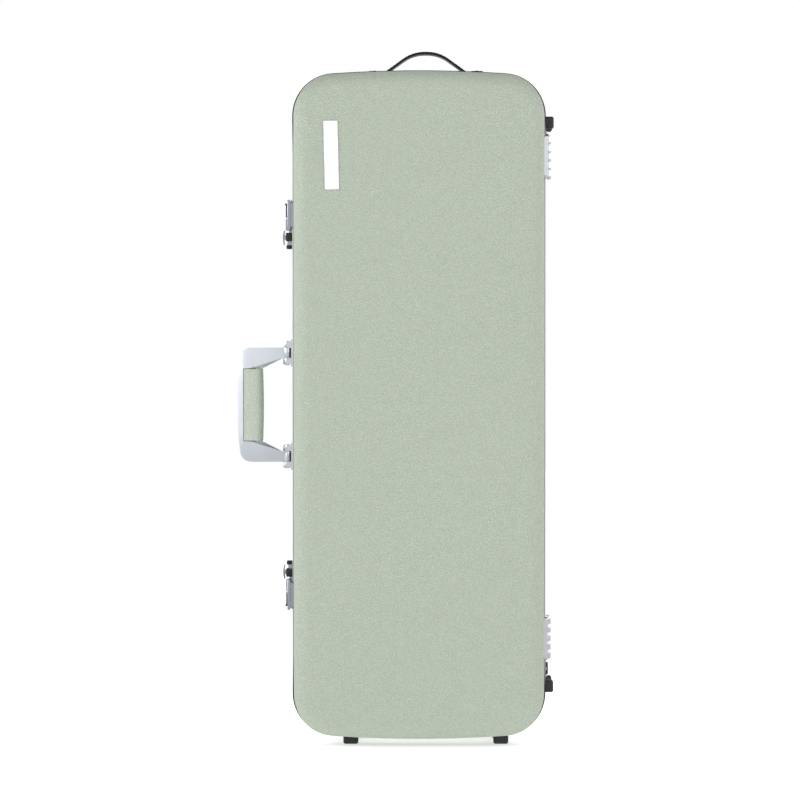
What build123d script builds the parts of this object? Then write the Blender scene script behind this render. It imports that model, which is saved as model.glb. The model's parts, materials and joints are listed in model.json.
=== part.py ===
from build123d import *
from math import radians, tan
import os

os.makedirs("parts", exist_ok=True)

# Viola case, standing on its end feet. Millimetres. +Z runs up the long axis, the lid
# faces -Y, the handle and latches are on the -X side and the hinges on the +X side.

# Case body, measured over the rim
body_width = 296
body_height = 780
lid_depth = 55
back_depth = 85
corner_radius = 50
end_crown = 7.5
shell_wall = 4
lid_draft = 4.5
back_draft = 1.5
lid_edge_radius = 18
back_edge_radius = 16
lid_room_bevel = 8.5
back_room_bevel = 7.5
floor_clearance = 7.5
overrun = 2
seat_depth = 6

# Rim channels and the seal between them
channel_wall = 1.2
channel_depth = 9
inner_flange_depth = 6
seam_gap = 2
seal_width = 2.6
seal_inset = 1.4
seal_clearance = 0.3

# Rubber feet
end_foot_length = 17.5
end_foot_width = 17
end_foot_inset = 60
end_offset = 8
side_foot_stand = 9.4
side_foot_length = 14
side_foot_width = 16
side_foot_inset = 60
front_foot_setback = 12
rear_foot_setback = 58
foot_corner_radius = 3
foot_sole_bevel = 1.5

# Carrying handle
handle_reach = 64.7
handle_height = 134
handle_bow = 2.7
handle_corner_radius = 13
handle_setback = 20
handle_depth = 18
handle_edge_bevel = 1.8
spine_width = 6.5
grip_width = 23
grip_end_margin = 24
grip_depth = 20
grip_inner_radius = 8
grip_outer_radius = 2
grip_end_bevel = 1.2
grip_clearance = 0.2
pin_standoff = 6.9
arm_knuckle_radius = 4.8
arm_knuckle_height = 12.5
arm_shoulder_gap = 0.7
arm_bevel_width = 5
arm_bevel_depth = 3
handle_pin_radius = 2
handle_pin_head_radius = 3
handle_pin_head_height = 0.9
bracket_ear_height = 6.7
bracket_ear_depth = 11
bracket_plate_thickness = 1.8
bracket_plate_depth = 24
bracket_plate_margin = 2.5
bracket_corner_radius = 2
pivot_clearance = 0.3
pin_clearance = 0.05

# Lid hinges
hinge_length = 50
upper_hinge_inset = 101
lower_hinge_inset = 119
hinge_barrel_radius = 3
hinge_axis_offset = 3.3
hinge_leaf_thickness = 1.5
hinge_leaf_reach = 21
hinge_knuckle_count = 5
hinge_corner_radius = 3
hinge_pin_radius = 1.4
hinge_pin_head_radius = 2.2
hinge_pin_head_height = 0.8

# Latches, mirrored about the handle
latch_inset = 179
latch_plate_length = 56
latch_plate_thickness = 1.5
latch_plate_reach = 24
latch_plate_corner_radius = 2
latch_seam_margin = 0.6
hasp_length = 35
hasp_thickness = 1.8
hasp_level = 3.9
hasp_axis_setback = 18
hasp_axis_level = 4.4
hasp_barrel_radius = 2.4
hasp_barrel_length = 21
hasp_pin_radius = 1
hasp_overlap = 9
hasp_lip_thickness = 1.6
hasp_lip_level = 1.9
hasp_boss_length = 13
hasp_boss_height = 1.5
hasp_corner_radius = 1.2
strike_length = 30
strike_reach = 13
strike_thickness = 1.3
strike_lug_setback = 3
strike_lug_width = 3
strike_lug_height = 2
thumb_setback = 9
thumb_length = 8.5
thumb_height = 7
thumb_neck_width = 7.2
thumb_foot_width = 10.4
thumb_foot_thickness = 0.8
thumb_clearance = 0.3
thumb_hasp_gap = 4
rail_width = 1.6
rail_lip_thickness = 0.8
rail_end_gap = 0.5
stop_length = 3.5
stop_height = 5.8
cap_length = 16.5
cap_width = 12
cap_thickness = 1.5
cap_level = 8.4
cap_rise = 1.2
cap_neck_length = 5
spring_radius = 1.5
spring_wire = 0.4
spring_clearance = 0.15
spring_pocket_depth = 5
spring_level = 4.7

# Strap handle on the upper end
strap_span = 98
strap_rise = 25
strap_thickness = 3
strap_width = 20
strap_tab_length = 22
strap_setback = 42
strap_crown_length = 30
strap_crown_radius = 42
strap_foot_radius = 9
strap_plate_length = 14
strap_plate_width = 24
strap_plate_thickness = 1.6
strap_plate_radius = 2.5

# Strap rings beside the side feet
ring_inset = 78
ring_setback = 38
ring_wire_radius = 1.1
ring_side_count = 8
ring_bend_radius = 2.2
ring_reach = 19
ring_corner_radius = 7
ring_axis_level = 2.4
ring_clearance = 0.15
holder_height = 14
holder_wall = 1
holder_plate_thickness = 1.4
holder_plate_reach = 13
holder_corner_radius = 2

# Padded interior of the back shell
cradle_clearance = 0.3
cradle_drop = 9
cradle_end_wall = 18
cradle_break = 0.4
viola_room_length = 432
viola_room_total = 700
viola_room_depth = 52
lower_bout_room = 262
waist_room = 168
upper_bout_room = 214
lower_bout_share = 0.235
waist_share = 0.555
upper_bout_share = 0.8
neck_room = 60
scroll_room_width = 84
scroll_room_length = 96
scroll_room_radius = 20
tray_gap = 14
pocket_wall = 10
pocket_divider = 12
pocket_depth = 56
pocket_corner_radius = 10
neck_rest_height = 26
neck_rest_length = 30
neck_rest_rise = 22
neck_rest_notch_radius = 19
neck_strap_thickness = 1.6
neck_strap_length = 30
neck_strap_tab = 20
neck_strap_bulge = 12

# Lid interior
lining_thickness = 3
lining_drop = 9
bow_side_inset = 48
bow_rest_inset = 138
bow_rest_width = 44
bow_rest_length = 24
bow_rest_thickness = 14
bow_rest_radius = 5
bow_notch_radius = 5.5
bow_notch_offset = 9
spinner_length = 36
spinner_width = 12
spinner_thickness = 4
spinner_bevel = 1
spinner_shaft_radius = 3
spinner_shaft_depth = 8
spinner_offset = 8
spinner_lift = 0.4
tip_pocket_width = 30
tip_pocket_length = 44
tip_pocket_height = 17
tip_pocket_wall = 1.8
tip_pocket_inset = 54
tip_pocket_radius = 4

half_width = body_width / 2
half_height = body_height / 2
body_x = (handle_reach - side_foot_stand) / 2
end_x = body_x + end_offset
body_z = floor_clearance + half_height
seam_y = (lid_depth - back_depth) / 2
latch_side = body_x - half_width
hinge_side = body_x + half_width
half_gap = seam_gap / 2
shell_inset = channel_wall
room_inset = shell_inset + shell_wall
middle = Plane.XY.offset(body_z)


# Planes that the pieces are drawn on. Depths are behind the seam, heights are from the
# middle of the case, and "outward" is away from the case on that side.
def facing_front(depth):
    return Plane(origin=(body_x, seam_y + depth, body_z), x_dir=(1, 0, 0), z_dir=(0, -1, 0))


def facing_back(depth):
    return Plane(origin=(body_x, seam_y + depth, body_z), x_dir=(-1, 0, 0), z_dir=(0, 1, 0))


def latch_section(height):
    """x runs outward from the latch side, y towards the lid."""
    return Plane(origin=(latch_side, seam_y, body_z + height), x_dir=(-1, 0, 0), z_dir=(0, 0, 1))


def latch_elevation(depth):
    """x runs outward from the latch side, y up."""
    return Plane(origin=(latch_side, seam_y + depth, body_z), x_dir=(-1, 0, 0), z_dir=(0, 1, 0))


def hinge_section(height):
    """x runs outward from the hinge side, y towards the back."""
    return Plane(origin=(hinge_side, seam_y, body_z + height), x_dir=(1, 0, 0), z_dir=(0, 0, 1))


def latch_face(level):
    """Parallel to the latch side, this far outside it: x runs towards the lid, y up."""
    return Plane(origin=(latch_side - level, seam_y, body_z), x_dir=(0, -1, 0), z_dir=(-1, 0, 0))


def hinge_face(level):
    """Parallel to the hinge side, this far outside it: x runs towards the back, y up."""
    return Plane(origin=(hinge_side + level, seam_y, body_z), x_dir=(0, 1, 0), z_dir=(1, 0, 0))


def save(builder, name):
    builder.part.label = name
    export_step(builder.part, "parts/" + name + ".step")


# Case outline and the two drafted half forms
def rim_outline(inset):
    edge = half_width - inset
    end = half_height - inset
    shoulder = end - end_crown
    with BuildSketch(mode=Mode.PRIVATE) as outline:
        with BuildLine():
            top = ThreePointArc((-edge, shoulder), (0, end), (edge, shoulder))
            right = Line(top @ 1, (edge, -shoulder))
            bottom = ThreePointArc(right @ 1, (0, -end), (-edge, -shoulder))
            Line(bottom @ 1, top @ 0)
        make_face()
        fillet(outline.vertices(), corner_radius - inset)
    return outline.sketch


def seam_distance(face):
    return abs(face.center().Y - seam_y)


def half_form(seam_plane, draft, inset, depth, edge_radius=0, edge_bevel=0):
    """Solid that tapers away from the seam, with its far edge rounded or bevelled."""
    with BuildPart(mode=Mode.PRIVATE) as form:
        with BuildSketch(seam_plane):
            add(rim_outline(inset))
        extrude(amount=depth, taper=draft)
        far_edges = form.faces().sort_by(seam_distance)[-1].edges()
        if edge_radius > 0:
            fillet(far_edges, edge_radius)
        if edge_bevel > 0:
            chamfer(far_edges, edge_bevel)
    return form.part


lid_seam = facing_front(-half_gap)
back_seam = facing_back(half_gap)
lid_room_depth = lid_depth - half_gap - shell_wall
back_room_depth = back_depth - half_gap - shell_wall
lid_blank = half_form(lid_seam, lid_draft, shell_inset, lid_depth - half_gap, lid_edge_radius)
lid_band = half_form(lid_seam, lid_draft, 0, channel_depth)
lid_room = half_form(lid_seam, lid_draft, room_inset, lid_room_depth, edge_bevel=lid_room_bevel)
back_blank = half_form(back_seam, back_draft, shell_inset, back_depth - half_gap, back_edge_radius)
back_band = half_form(back_seam, back_draft, 0, channel_depth)
back_room = half_form(back_seam, back_draft, room_inset, back_room_depth, edge_bevel=back_room_bevel)


# Shells
with BuildPart() as lid_shell:
    add(lid_blank)
    add(lid_room, mode=Mode.SUBTRACT)
    split(bisect_by=facing_front(-half_gap - channel_wall), keep=Keep.TOP)
save(lid_shell, "lid_shell")

with BuildPart() as back_shell:
    add(back_blank)
    add(back_room, mode=Mode.SUBTRACT)
    split(bisect_by=facing_back(half_gap + channel_wall), keep=Keep.TOP)
save(back_shell, "back_shell")


# Rim channels: an outer flange, a web over the shell's edge and a shorter inner flange
def rim_channel(seam_plane, draft, band):
    with BuildPart(mode=Mode.PRIVATE) as channel:
        add(band)
        add(half_form(seam_plane, draft, shell_inset, channel_depth), mode=Mode.SUBTRACT)
        add(half_form(seam_plane, draft, room_inset, inner_flange_depth))
        add(half_form(seam_plane, draft, shell_inset, channel_wall))
        add(half_form(seam_plane, draft, room_inset + channel_wall, inner_flange_depth), mode=Mode.SUBTRACT)
    return channel.part


with BuildPart() as lid_channel:
    add(rim_channel(lid_seam, lid_draft, lid_band))
save(lid_channel, "lid_channel")

with BuildPart() as back_channel:
    add(rim_channel(back_seam, back_draft, back_band))
save(back_channel, "back_channel")

with BuildPart() as rim_seal:
    with BuildSketch(facing_front(half_gap)):
        add(rim_outline(seal_inset))
        add(rim_outline(seal_inset + seal_width), mode=Mode.SUBTRACT)
    extrude(amount=seam_gap - seal_clearance)
save(rim_seal, "rim_seal")


# Rubber feet: a pad with a rounded sole, its top cut to the shell that it sits on
def rubber_foot(sole_plane, length, width, height):
    with BuildPart(mode=Mode.PRIVATE) as foot:
        with BuildSketch(sole_plane):
            RectangleRounded(length, width, foot_corner_radius)
        extrude(amount=height)
        sole = foot.faces().sort_by(lambda face: abs(sole_plane.to_local_coords(face.center()).Z))[0]
        chamfer(sole.edges(), foot_sole_bevel)
        add(back_band, mode=Mode.SUBTRACT)
        add(back_blank, mode=Mode.SUBTRACT)
    return foot.part


def end_foot_plane(side, setback):
    origin = (end_x + side * (half_width - end_foot_inset), seam_y + setback, 0)
    return Plane(origin=origin, x_dir=(1, 0, 0), z_dir=(0, 0, 1))


def side_foot_plane(side, setback):
    foot_rise = side * (half_height - side_foot_inset)
    origin = (hinge_side + side_foot_stand, seam_y + setback, body_z + foot_rise)
    return Plane(origin=origin, x_dir=(0, 0, 1), z_dir=(-1, 0, 0))


end_foot_height = floor_clearance + end_crown + seat_depth
side_foot_height = side_foot_stand + seat_depth
for row_name, setback in (("front", front_foot_setback), ("rear", rear_foot_setback)):
    for side_name, side in (("left", -1), ("right", 1)):
        with BuildPart() as end_foot:
            add(rubber_foot(end_foot_plane(side, setback), end_foot_length, end_foot_width, end_foot_height))
        save(end_foot, f"end_foot_{row_name}_{side_name}")
    for side_name, side in (("lower", -1), ("upper", 1)):
        with BuildPart() as side_foot:
            add(rubber_foot(side_foot_plane(side, setback), side_foot_length, side_foot_width, side_foot_height))
        save(side_foot, f"side_foot_{row_name}_{side_name}")


# Carrying handle: a cast frame, its leather grip, and two forked brackets with pins
grip_outer = handle_reach - spine_width
grip_inner = grip_outer - grip_width
arm_top = handle_height / 2
grip_end = arm_top - grip_end_margin
knuckle_low = arm_top - arm_knuckle_height
arm_end = pin_standoff - arm_knuckle_radius
arm_slope_start = pin_standoff + arm_knuckle_radius + arm_shoulder_gap
frame_corner = handle_reach - handle_bow
grip_middle = (grip_inner + grip_outer) / 2

with BuildPart() as handle_frame:
    with BuildSketch(latch_elevation(handle_setback)) as frame_plan:
        with BuildLine():
            spine = ThreePointArc((frame_corner, arm_top), (handle_reach, 0), (frame_corner, -arm_top))
            Polyline(
                spine @ 1,
                (arm_end, -arm_top),
                (arm_end, -knuckle_low),
                (arm_slope_start, -knuckle_low),
                (grip_inner, -grip_end),
                (grip_outer, -grip_end),
                (grip_outer, grip_end),
                (grip_inner, grip_end),
                (arm_slope_start, knuckle_low),
                (arm_end, knuckle_low),
                (arm_end, arm_top),
                spine @ 0,
            )
        make_face()
        fillet(frame_plan.vertices().sort_by(Axis.X)[-2:], handle_corner_radius)
    extrude(amount=handle_depth, both=True)
    with BuildSketch(latch_section(0)):
        with Locations((pin_standoff, -handle_setback)):
            Circle(arm_knuckle_radius)
        with Locations(((grip_inner + handle_reach) / 2, -handle_setback)):
            Rectangle(handle_reach - grip_inner, handle_depth)
        make_hull()
    extrude(amount=handle_height, both=True, mode=Mode.INTERSECT)
    outer_edges = handle_frame.faces().filter_by(GeomType.CYLINDER).sort_by(Axis.X)[0].edges()
    chamfer(outer_edges.filter_by(GeomType.CIRCLE), handle_edge_bevel)
    arm_edges = handle_frame.edges().filter_by_position(
        Axis.X, latch_side - grip_inner, latch_side - arm_slope_start, inclusive=(False, False)
    )
    slope_edges = arm_edges.filter_by_position(Axis.Z, body_z - knuckle_low, body_z + knuckle_low)
    chamfer(slope_edges, arm_bevel_width, arm_bevel_depth)
    with BuildSketch(latch_section(-arm_top)):
        with Locations((pin_standoff, -handle_setback)):
            Circle(handle_pin_radius + pin_clearance)
    extrude(amount=handle_height, mode=Mode.SUBTRACT)
save(handle_frame, "handle_frame")

with BuildPart() as handle_grip:
    with BuildSketch(latch_section(-grip_end + grip_clearance)) as grip_section:
        with Locations((grip_middle, -handle_setback)):
            Rectangle(grip_width, grip_depth)
        inner_corners = grip_section.vertices().sort_by(Axis.X)[:2]
        outer_corners = grip_section.vertices().sort_by(Axis.X)[2:]
        fillet(inner_corners, grip_inner_radius)
        fillet(outer_corners, grip_outer_radius)
    extrude(amount=2 * (grip_end - grip_clearance))
    for end_face in handle_grip.faces().filter_by(Axis.Z):
        chamfer(end_face.edges(), grip_end_bevel)
save(handle_grip, "handle_grip")

slot_low = knuckle_low - pivot_clearance
slot_high = arm_top + pivot_clearance
ear_low = slot_low - bracket_ear_height
ear_high = slot_high + bracket_ear_height
bracket_height = ear_high - ear_low + 2 * bracket_plate_margin

with BuildPart() as handle_bracket_upper:
    with BuildSketch(latch_face(bracket_plate_thickness)):
        with Locations((-handle_setback, (ear_low + ear_high) / 2)):
            RectangleRounded(bracket_plate_depth, bracket_height, bracket_corner_radius)
    extrude(amount=-bracket_plate_thickness - seat_depth)
    for ear_start in (ear_low, slot_high):
        with BuildSketch(latch_section(ear_start)):
            with Locations((pin_standoff, -handle_setback)):
                Circle(arm_knuckle_radius)
            with Locations((bracket_plate_thickness / 2, -handle_setback)):
                Rectangle(bracket_plate_thickness, bracket_ear_depth)
            make_hull()
        extrude(amount=bracket_ear_height)
    with BuildSketch(latch_section(ear_low)):
        with Locations((pin_standoff, -handle_setback)):
            Circle(handle_pin_radius + pin_clearance)
    extrude(amount=ear_high - ear_low, mode=Mode.SUBTRACT)
    add(back_band, mode=Mode.SUBTRACT)
    add(back_blank, mode=Mode.SUBTRACT)
save(handle_bracket_upper, "handle_bracket_upper")

with BuildPart() as handle_pin_upper:
    with BuildSketch(latch_section(ear_low)):
        with Locations((pin_standoff, -handle_setback)):
            Circle(handle_pin_radius)
    extrude(amount=ear_high - ear_low)
    for head_start in (ear_low - handle_pin_head_height, ear_high):
        with BuildSketch(latch_section(head_start)):
            with Locations((pin_standoff, -handle_setback)):
                Circle(handle_pin_head_radius)
        extrude(amount=handle_pin_head_height)
save(handle_pin_upper, "handle_pin_upper")


# Pieces that repeat below the middle of the case are mirrored there
def save_mirrored(builder, name):
    with BuildPart() as mirrored:
        mirror(builder.part, about=middle)
    save(mirrored, name)


save_mirrored(handle_bracket_upper, "handle_bracket_lower")
save_mirrored(handle_pin_upper, "handle_pin_lower")


# Lid hinges: two knuckled leaves that turn on a headed pin
knuckle_pitch = hinge_length / hinge_knuckle_count
leaf_start = hinge_barrel_radius + pivot_clearance
leaf_width = hinge_leaf_reach - leaf_start


def hinge_leaf(height, direction, first_knuckle, band, blank):
    with BuildPart(mode=Mode.PRIVATE) as leaf:
        with BuildSketch(hinge_face(hinge_leaf_thickness)):
            with Locations((direction * (leaf_start + leaf_width / 2), height)):
                RectangleRounded(leaf_width, hinge_length, hinge_corner_radius)
        extrude(amount=-hinge_leaf_thickness - seat_depth)
        for knuckle in range(first_knuckle, hinge_knuckle_count, 2):
            knuckle_start = height - hinge_length / 2 + knuckle * knuckle_pitch + pivot_clearance / 2
            web_width = leaf_start + hinge_corner_radius
            web_thickness = hinge_leaf_thickness - pivot_clearance
            with BuildSketch(hinge_section(knuckle_start)):
                with Locations((hinge_axis_offset, 0)):
                    Circle(hinge_barrel_radius)
                with Locations((pivot_clearance + web_thickness / 2, direction * web_width / 2)):
                    Rectangle(web_thickness, web_width)
            extrude(amount=knuckle_pitch - pivot_clearance)
        with BuildSketch(hinge_section(height - hinge_length / 2)):
            with Locations((hinge_axis_offset, 0)):
                Circle(hinge_pin_radius + pin_clearance)
        extrude(amount=hinge_length, mode=Mode.SUBTRACT)
        add(band, mode=Mode.SUBTRACT)
        add(blank, mode=Mode.SUBTRACT)
    return leaf.part


def hinge_pin(height):
    pin_length = hinge_length + 2 * hinge_pin_head_height
    with BuildPart(mode=Mode.PRIVATE) as pin:
        with BuildSketch(hinge_section(height - pin_length / 2)):
            with Locations((hinge_axis_offset, 0)):
                Circle(hinge_pin_radius)
        extrude(amount=pin_length)
        for head_start in (height - pin_length / 2, height + hinge_length / 2):
            with BuildSketch(hinge_section(head_start)):
                with Locations((hinge_axis_offset, 0)):
                    Circle(hinge_pin_head_radius)
            extrude(amount=hinge_pin_head_height)
    return pin.part


for hinge_name, height in (("upper", half_height - upper_hinge_inset), ("lower", lower_hinge_inset - half_height)):
    with BuildPart() as back_leaf:
        add(hinge_leaf(height, 1, 0, back_band, back_blank))
    save(back_leaf, f"hinge_back_leaf_{hinge_name}")
    with BuildPart() as lid_leaf:
        add(hinge_leaf(height, -1, 1, lid_band, lid_blank))
    save(lid_leaf, f"hinge_lid_leaf_{hinge_name}")
    with BuildPart() as pin:
        add(hinge_pin(height))
    save(pin, f"hinge_pin_{hinge_name}")


# Latches: plate with slide rails, hinged hasp, strike on the lid and a sprung thumb slide
latch_rise = half_height - latch_inset
latch_low = latch_rise - latch_plate_length / 2
hasp_top = latch_rise + latch_plate_length / 2
hasp_low = hasp_top - hasp_length
hasp_middle = (hasp_top + hasp_low) / 2
hasp_barrel_low = hasp_middle - hasp_barrel_length / 2
hasp_barrel_high = hasp_middle + hasp_barrel_length / 2
hasp_rear = hasp_axis_setback - hasp_barrel_radius - pivot_clearance
thumb_top = hasp_low - thumb_hasp_gap
thumb_low = thumb_top - thumb_length
stop_top = latch_low + stop_length
rail_top = hasp_low - rail_end_gap
foot_half = thumb_foot_width / 2
neck_half = thumb_neck_width / 2
foot_low = latch_plate_thickness + thumb_clearance
foot_high = foot_low + thumb_foot_thickness
rail_inner = foot_half + thumb_clearance
rail_outer = rail_inner + rail_width
lip_low = foot_high + thumb_clearance
lip_high = lip_low + rail_lip_thickness
lip_inner = neck_half + thumb_clearance
hasp_outer = hasp_level + hasp_thickness

with BuildPart() as latch_plate_upper:
    plate_near = half_gap + latch_seam_margin
    with BuildSketch(latch_face(latch_plate_thickness)):
        with Locations((-(plate_near + latch_plate_reach) / 2, latch_rise)):
            RectangleRounded(latch_plate_reach - plate_near, latch_plate_length, latch_plate_corner_radius)
    extrude(amount=-latch_plate_thickness - seat_depth)
    for ear_start, ear_end in ((hasp_low, hasp_barrel_low), (hasp_barrel_high, hasp_top)):
        with BuildSketch(latch_section(ear_start)):
            with Locations((hasp_axis_level, -hasp_axis_setback)):
                Circle(hasp_barrel_radius)
            with Locations((hasp_axis_level / 2, -hasp_axis_setback)):
                Rectangle(hasp_axis_level, 2 * hasp_barrel_radius)
        extrude(amount=ear_end - ear_start - pivot_clearance)
    with BuildSketch(latch_section(hasp_low)):
        with Locations((hasp_axis_level, -hasp_axis_setback)):
            Circle(hasp_pin_radius + pin_clearance)
    extrude(amount=hasp_length, mode=Mode.SUBTRACT)
    for side in (-1, 1):
        with BuildSketch(latch_section(latch_low)):
            with BuildLine():
                Polyline(
                    (0, side * rail_outer - thumb_setback),
                    (lip_high, side * rail_outer - thumb_setback),
                    (lip_high, side * lip_inner - thumb_setback),
                    (lip_low, side * lip_inner - thumb_setback),
                    (lip_low, side * rail_inner - thumb_setback),
                    (0, side * rail_inner - thumb_setback),
                    close=True,
                )
            make_face()
        extrude(amount=rail_top - latch_low)
    with BuildSketch(latch_section(latch_low)):
        with Locations((stop_height / 2, -thumb_setback)):
            Rectangle(stop_height, 2 * rail_outer)
    extrude(amount=stop_length)
    add(back_band, mode=Mode.SUBTRACT)
    add(back_blank, mode=Mode.SUBTRACT)
save(latch_plate_upper, "latch_plate_upper")
save_mirrored(latch_plate_upper, "latch_plate_lower")

with BuildPart() as hasp_upper:
    with BuildSketch(latch_section(hasp_low)) as hasp_section:
        with BuildLine():
            Polyline(
                (hasp_level, -hasp_rear),
                (hasp_outer, -hasp_rear),
                (hasp_outer, hasp_overlap),
                (hasp_lip_level, hasp_overlap),
                (hasp_lip_level, hasp_overlap - hasp_lip_thickness),
                (hasp_level, hasp_overlap - hasp_lip_thickness),
                close=True,
            )
        make_face()
        fillet(hasp_section.vertices().group_by(Axis.X)[-1].sort_by(Axis.Y)[-1], hasp_corner_radius)
    extrude(amount=hasp_length)
    barrel_low = hasp_barrel_low + pivot_clearance / 2
    barrel_length = hasp_barrel_length - pivot_clearance * 3 / 2
    with BuildSketch(latch_section(barrel_low)):
        with Locations((hasp_axis_level, -hasp_axis_setback)):
            Circle(hasp_barrel_radius)
        with Locations(((hasp_level + hasp_outer) / 2, -(hasp_axis_setback + hasp_rear) / 2)):
            Rectangle(hasp_thickness, hasp_axis_setback - hasp_rear)
    extrude(amount=barrel_length)
    boss_width = hasp_rear + hasp_overlap - 2 * hasp_lip_thickness
    with BuildSketch(latch_face(hasp_outer)):
        with Locations(((hasp_overlap - hasp_rear) / 2, hasp_low + hasp_boss_length / 2)):
            RectangleRounded(boss_width, hasp_boss_length, hasp_corner_radius)
    extrude(amount=hasp_boss_height)
    with BuildSketch(latch_section(barrel_low)):
        with Locations((hasp_axis_level, -hasp_axis_setback)):
            Circle(hasp_pin_radius + pin_clearance)
    extrude(amount=barrel_length, mode=Mode.SUBTRACT)
save(hasp_upper, "hasp_upper")
save_mirrored(hasp_upper, "hasp_lower")

with BuildPart() as hasp_pin_upper:
    with BuildSketch(latch_section(hasp_low)):
        with Locations((hasp_axis_level, -hasp_axis_setback)):
            Circle(hasp_pin_radius)
    extrude(amount=hasp_length)
save(hasp_pin_upper, "hasp_pin_upper")
save_mirrored(hasp_pin_upper, "hasp_pin_lower")

with BuildPart() as strike_upper:
    with BuildSketch(latch_face(strike_thickness)):
        with Locations(((plate_near + strike_reach) / 2, hasp_middle)):
            RectangleRounded(strike_reach - plate_near, strike_length, latch_plate_corner_radius)
    extrude(amount=-strike_thickness - seat_depth)
    with BuildSketch(latch_face(strike_thickness)):
        with Locations((strike_lug_setback + strike_lug_width / 2, hasp_middle)):
            Rectangle(strike_lug_width, strike_length - 2 * latch_plate_corner_radius)
    extrude(amount=strike_lug_height)
    add(lid_band, mode=Mode.SUBTRACT)
    add(lid_blank, mode=Mode.SUBTRACT)
save(strike_upper, "strike_upper")
save_mirrored(strike_upper, "strike_lower")

with BuildPart() as thumb_slide_upper:
    with BuildSketch(latch_section(thumb_low)):
        with Locations(((foot_low + foot_high) / 2, -thumb_setback)):
            Rectangle(thumb_foot_thickness, thumb_foot_width)
        with Locations(((foot_low + thumb_height) / 2, -thumb_setback)):
            Rectangle(thumb_height - foot_low, thumb_neck_width)
    extrude(amount=thumb_length)
    with BuildSketch(latch_section(thumb_low)):
        with Locations((spring_level, -thumb_setback)):
            Circle(spring_radius + spring_clearance)
    extrude(amount=spring_pocket_depth, mode=Mode.SUBTRACT)
save(thumb_slide_upper, "thumb_slide_upper")
save_mirrored(thumb_slide_upper, "thumb_slide_lower")

cap_top = rail_top
cap_low = cap_top - cap_length
cap_middle = (cap_top + cap_low) / 2
thumb_middle = (thumb_top + thumb_low) / 2
with BuildPart() as thumb_cap_upper:
    with BuildSketch(latch_elevation(thumb_setback)):
        with BuildLine():
            under = ThreePointArc((cap_level, cap_low), (cap_level + cap_rise, cap_middle), (cap_level, cap_top))
            Line(under @ 1, (cap_level + cap_thickness, cap_top))
            over = ThreePointArc(
                (cap_level + cap_thickness, cap_top),
                (cap_level + cap_rise + cap_thickness, cap_middle),
                (cap_level + cap_thickness, cap_low),
            )
            Line(over @ 1, under @ 0)
        make_face()
        neck_height = cap_level + cap_rise + cap_thickness / 2 - thumb_height
        with Locations((thumb_height + neck_height / 2, thumb_middle)):
            Rectangle(neck_height, cap_neck_length)
    extrude(amount=cap_width / 2, both=True)
save(thumb_cap_upper, "thumb_cap_upper")
save_mirrored(thumb_cap_upper, "thumb_cap_lower")

with BuildPart() as thumb_spring_upper:
    with BuildSketch(latch_section(stop_top)):
        with Locations((spring_level, -thumb_setback)):
            Circle(spring_radius)
            Circle(spring_radius - spring_wire, mode=Mode.SUBTRACT)
    extrude(amount=thumb_low + spring_pocket_depth - stop_top)
save(thumb_spring_upper, "thumb_spring_upper")
save_mirrored(thumb_spring_upper, "thumb_spring_lower")


# Strap handle: one leather strap, arched between two keeper plates on the upper end
strap_base = half_height - shell_inset - strap_setback * tan(radians(back_draft))
strap_line = strap_base + strap_thickness / 2
tab_outer = strap_span / 2 + strap_tab_length
keeper_middle = tab_outer - strap_tab_length / 2

strap_plane = Plane(origin=(end_x, seam_y + strap_setback, body_z), x_dir=(1, 0, 0), z_dir=(0, -1, 0))

with BuildPart() as strap_handle:
    with BuildSketch(strap_plane):
        with BuildLine():
            FilletPolyline(
                (-tab_outer, strap_line),
                (-strap_span / 2, strap_line),
                (-strap_crown_length / 2, strap_line + strap_rise),
                (strap_crown_length / 2, strap_line + strap_rise),
                (strap_span / 2, strap_line),
                (tab_outer, strap_line),
                radius=[strap_foot_radius, strap_crown_radius, strap_crown_radius, strap_foot_radius],
            )
        trace(line_width=strap_thickness)
        for side in (-1, 1):
            with Locations((side * keeper_middle, strap_base - seat_depth / 2 + strap_thickness / 2)):
                Rectangle(strap_tab_length, seat_depth)
    extrude(amount=strap_width / 2, both=True)
    add(back_blank, mode=Mode.SUBTRACT)
save(strap_handle, "strap_handle")

for side_name, side in (("left", -1), ("right", 1)):
    with BuildPart() as strap_keeper:
        keeper_height = seat_depth + strap_thickness + strap_plate_thickness
        keeper_origin = (end_x + side * keeper_middle, seam_y + strap_setback, body_z + strap_base - seat_depth)
        with BuildSketch(Plane(origin=keeper_origin)):
            RectangleRounded(strap_plate_length, strap_plate_width, strap_plate_radius)
        extrude(amount=keeper_height)
        with BuildSketch(Plane(origin=keeper_origin)):
            Rectangle(strap_plate_length, strap_width)
        extrude(amount=seat_depth + strap_thickness, mode=Mode.SUBTRACT)
        add(back_blank, mode=Mode.SUBTRACT)
    save(strap_keeper, f"strap_keeper_{side_name}")


# Strap rings: a D ring whose bar turns in a black holder screwed to the hinge side
ring_width = holder_height + 2 * (ring_bend_radius + pivot_clearance)
ring_end = ring_width / 2
holder_radius = ring_wire_radius + ring_clearance + holder_wall


def strap_ring(height):
    ring_plane = hinge_face(ring_axis_level)
    with BuildPart(mode=Mode.PRIVATE) as ring:
        with BuildLine(ring_plane) as bow:
            FilletPolyline(
                (ring_setback, height - ring_end),
                (ring_setback + ring_reach, height - ring_end),
                (ring_setback + ring_reach, height + ring_end),
                (ring_setback, height + ring_end),
                radius=[ring_bend_radius, ring_corner_radius, ring_corner_radius, ring_bend_radius],
                close=True,
            )
        with BuildSketch(Plane(origin=bow.line @ 0, z_dir=bow.line % 0)):
            RegularPolygon(ring_wire_radius, ring_side_count)
        sweep(path=bow.line)
    return ring.part


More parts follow.
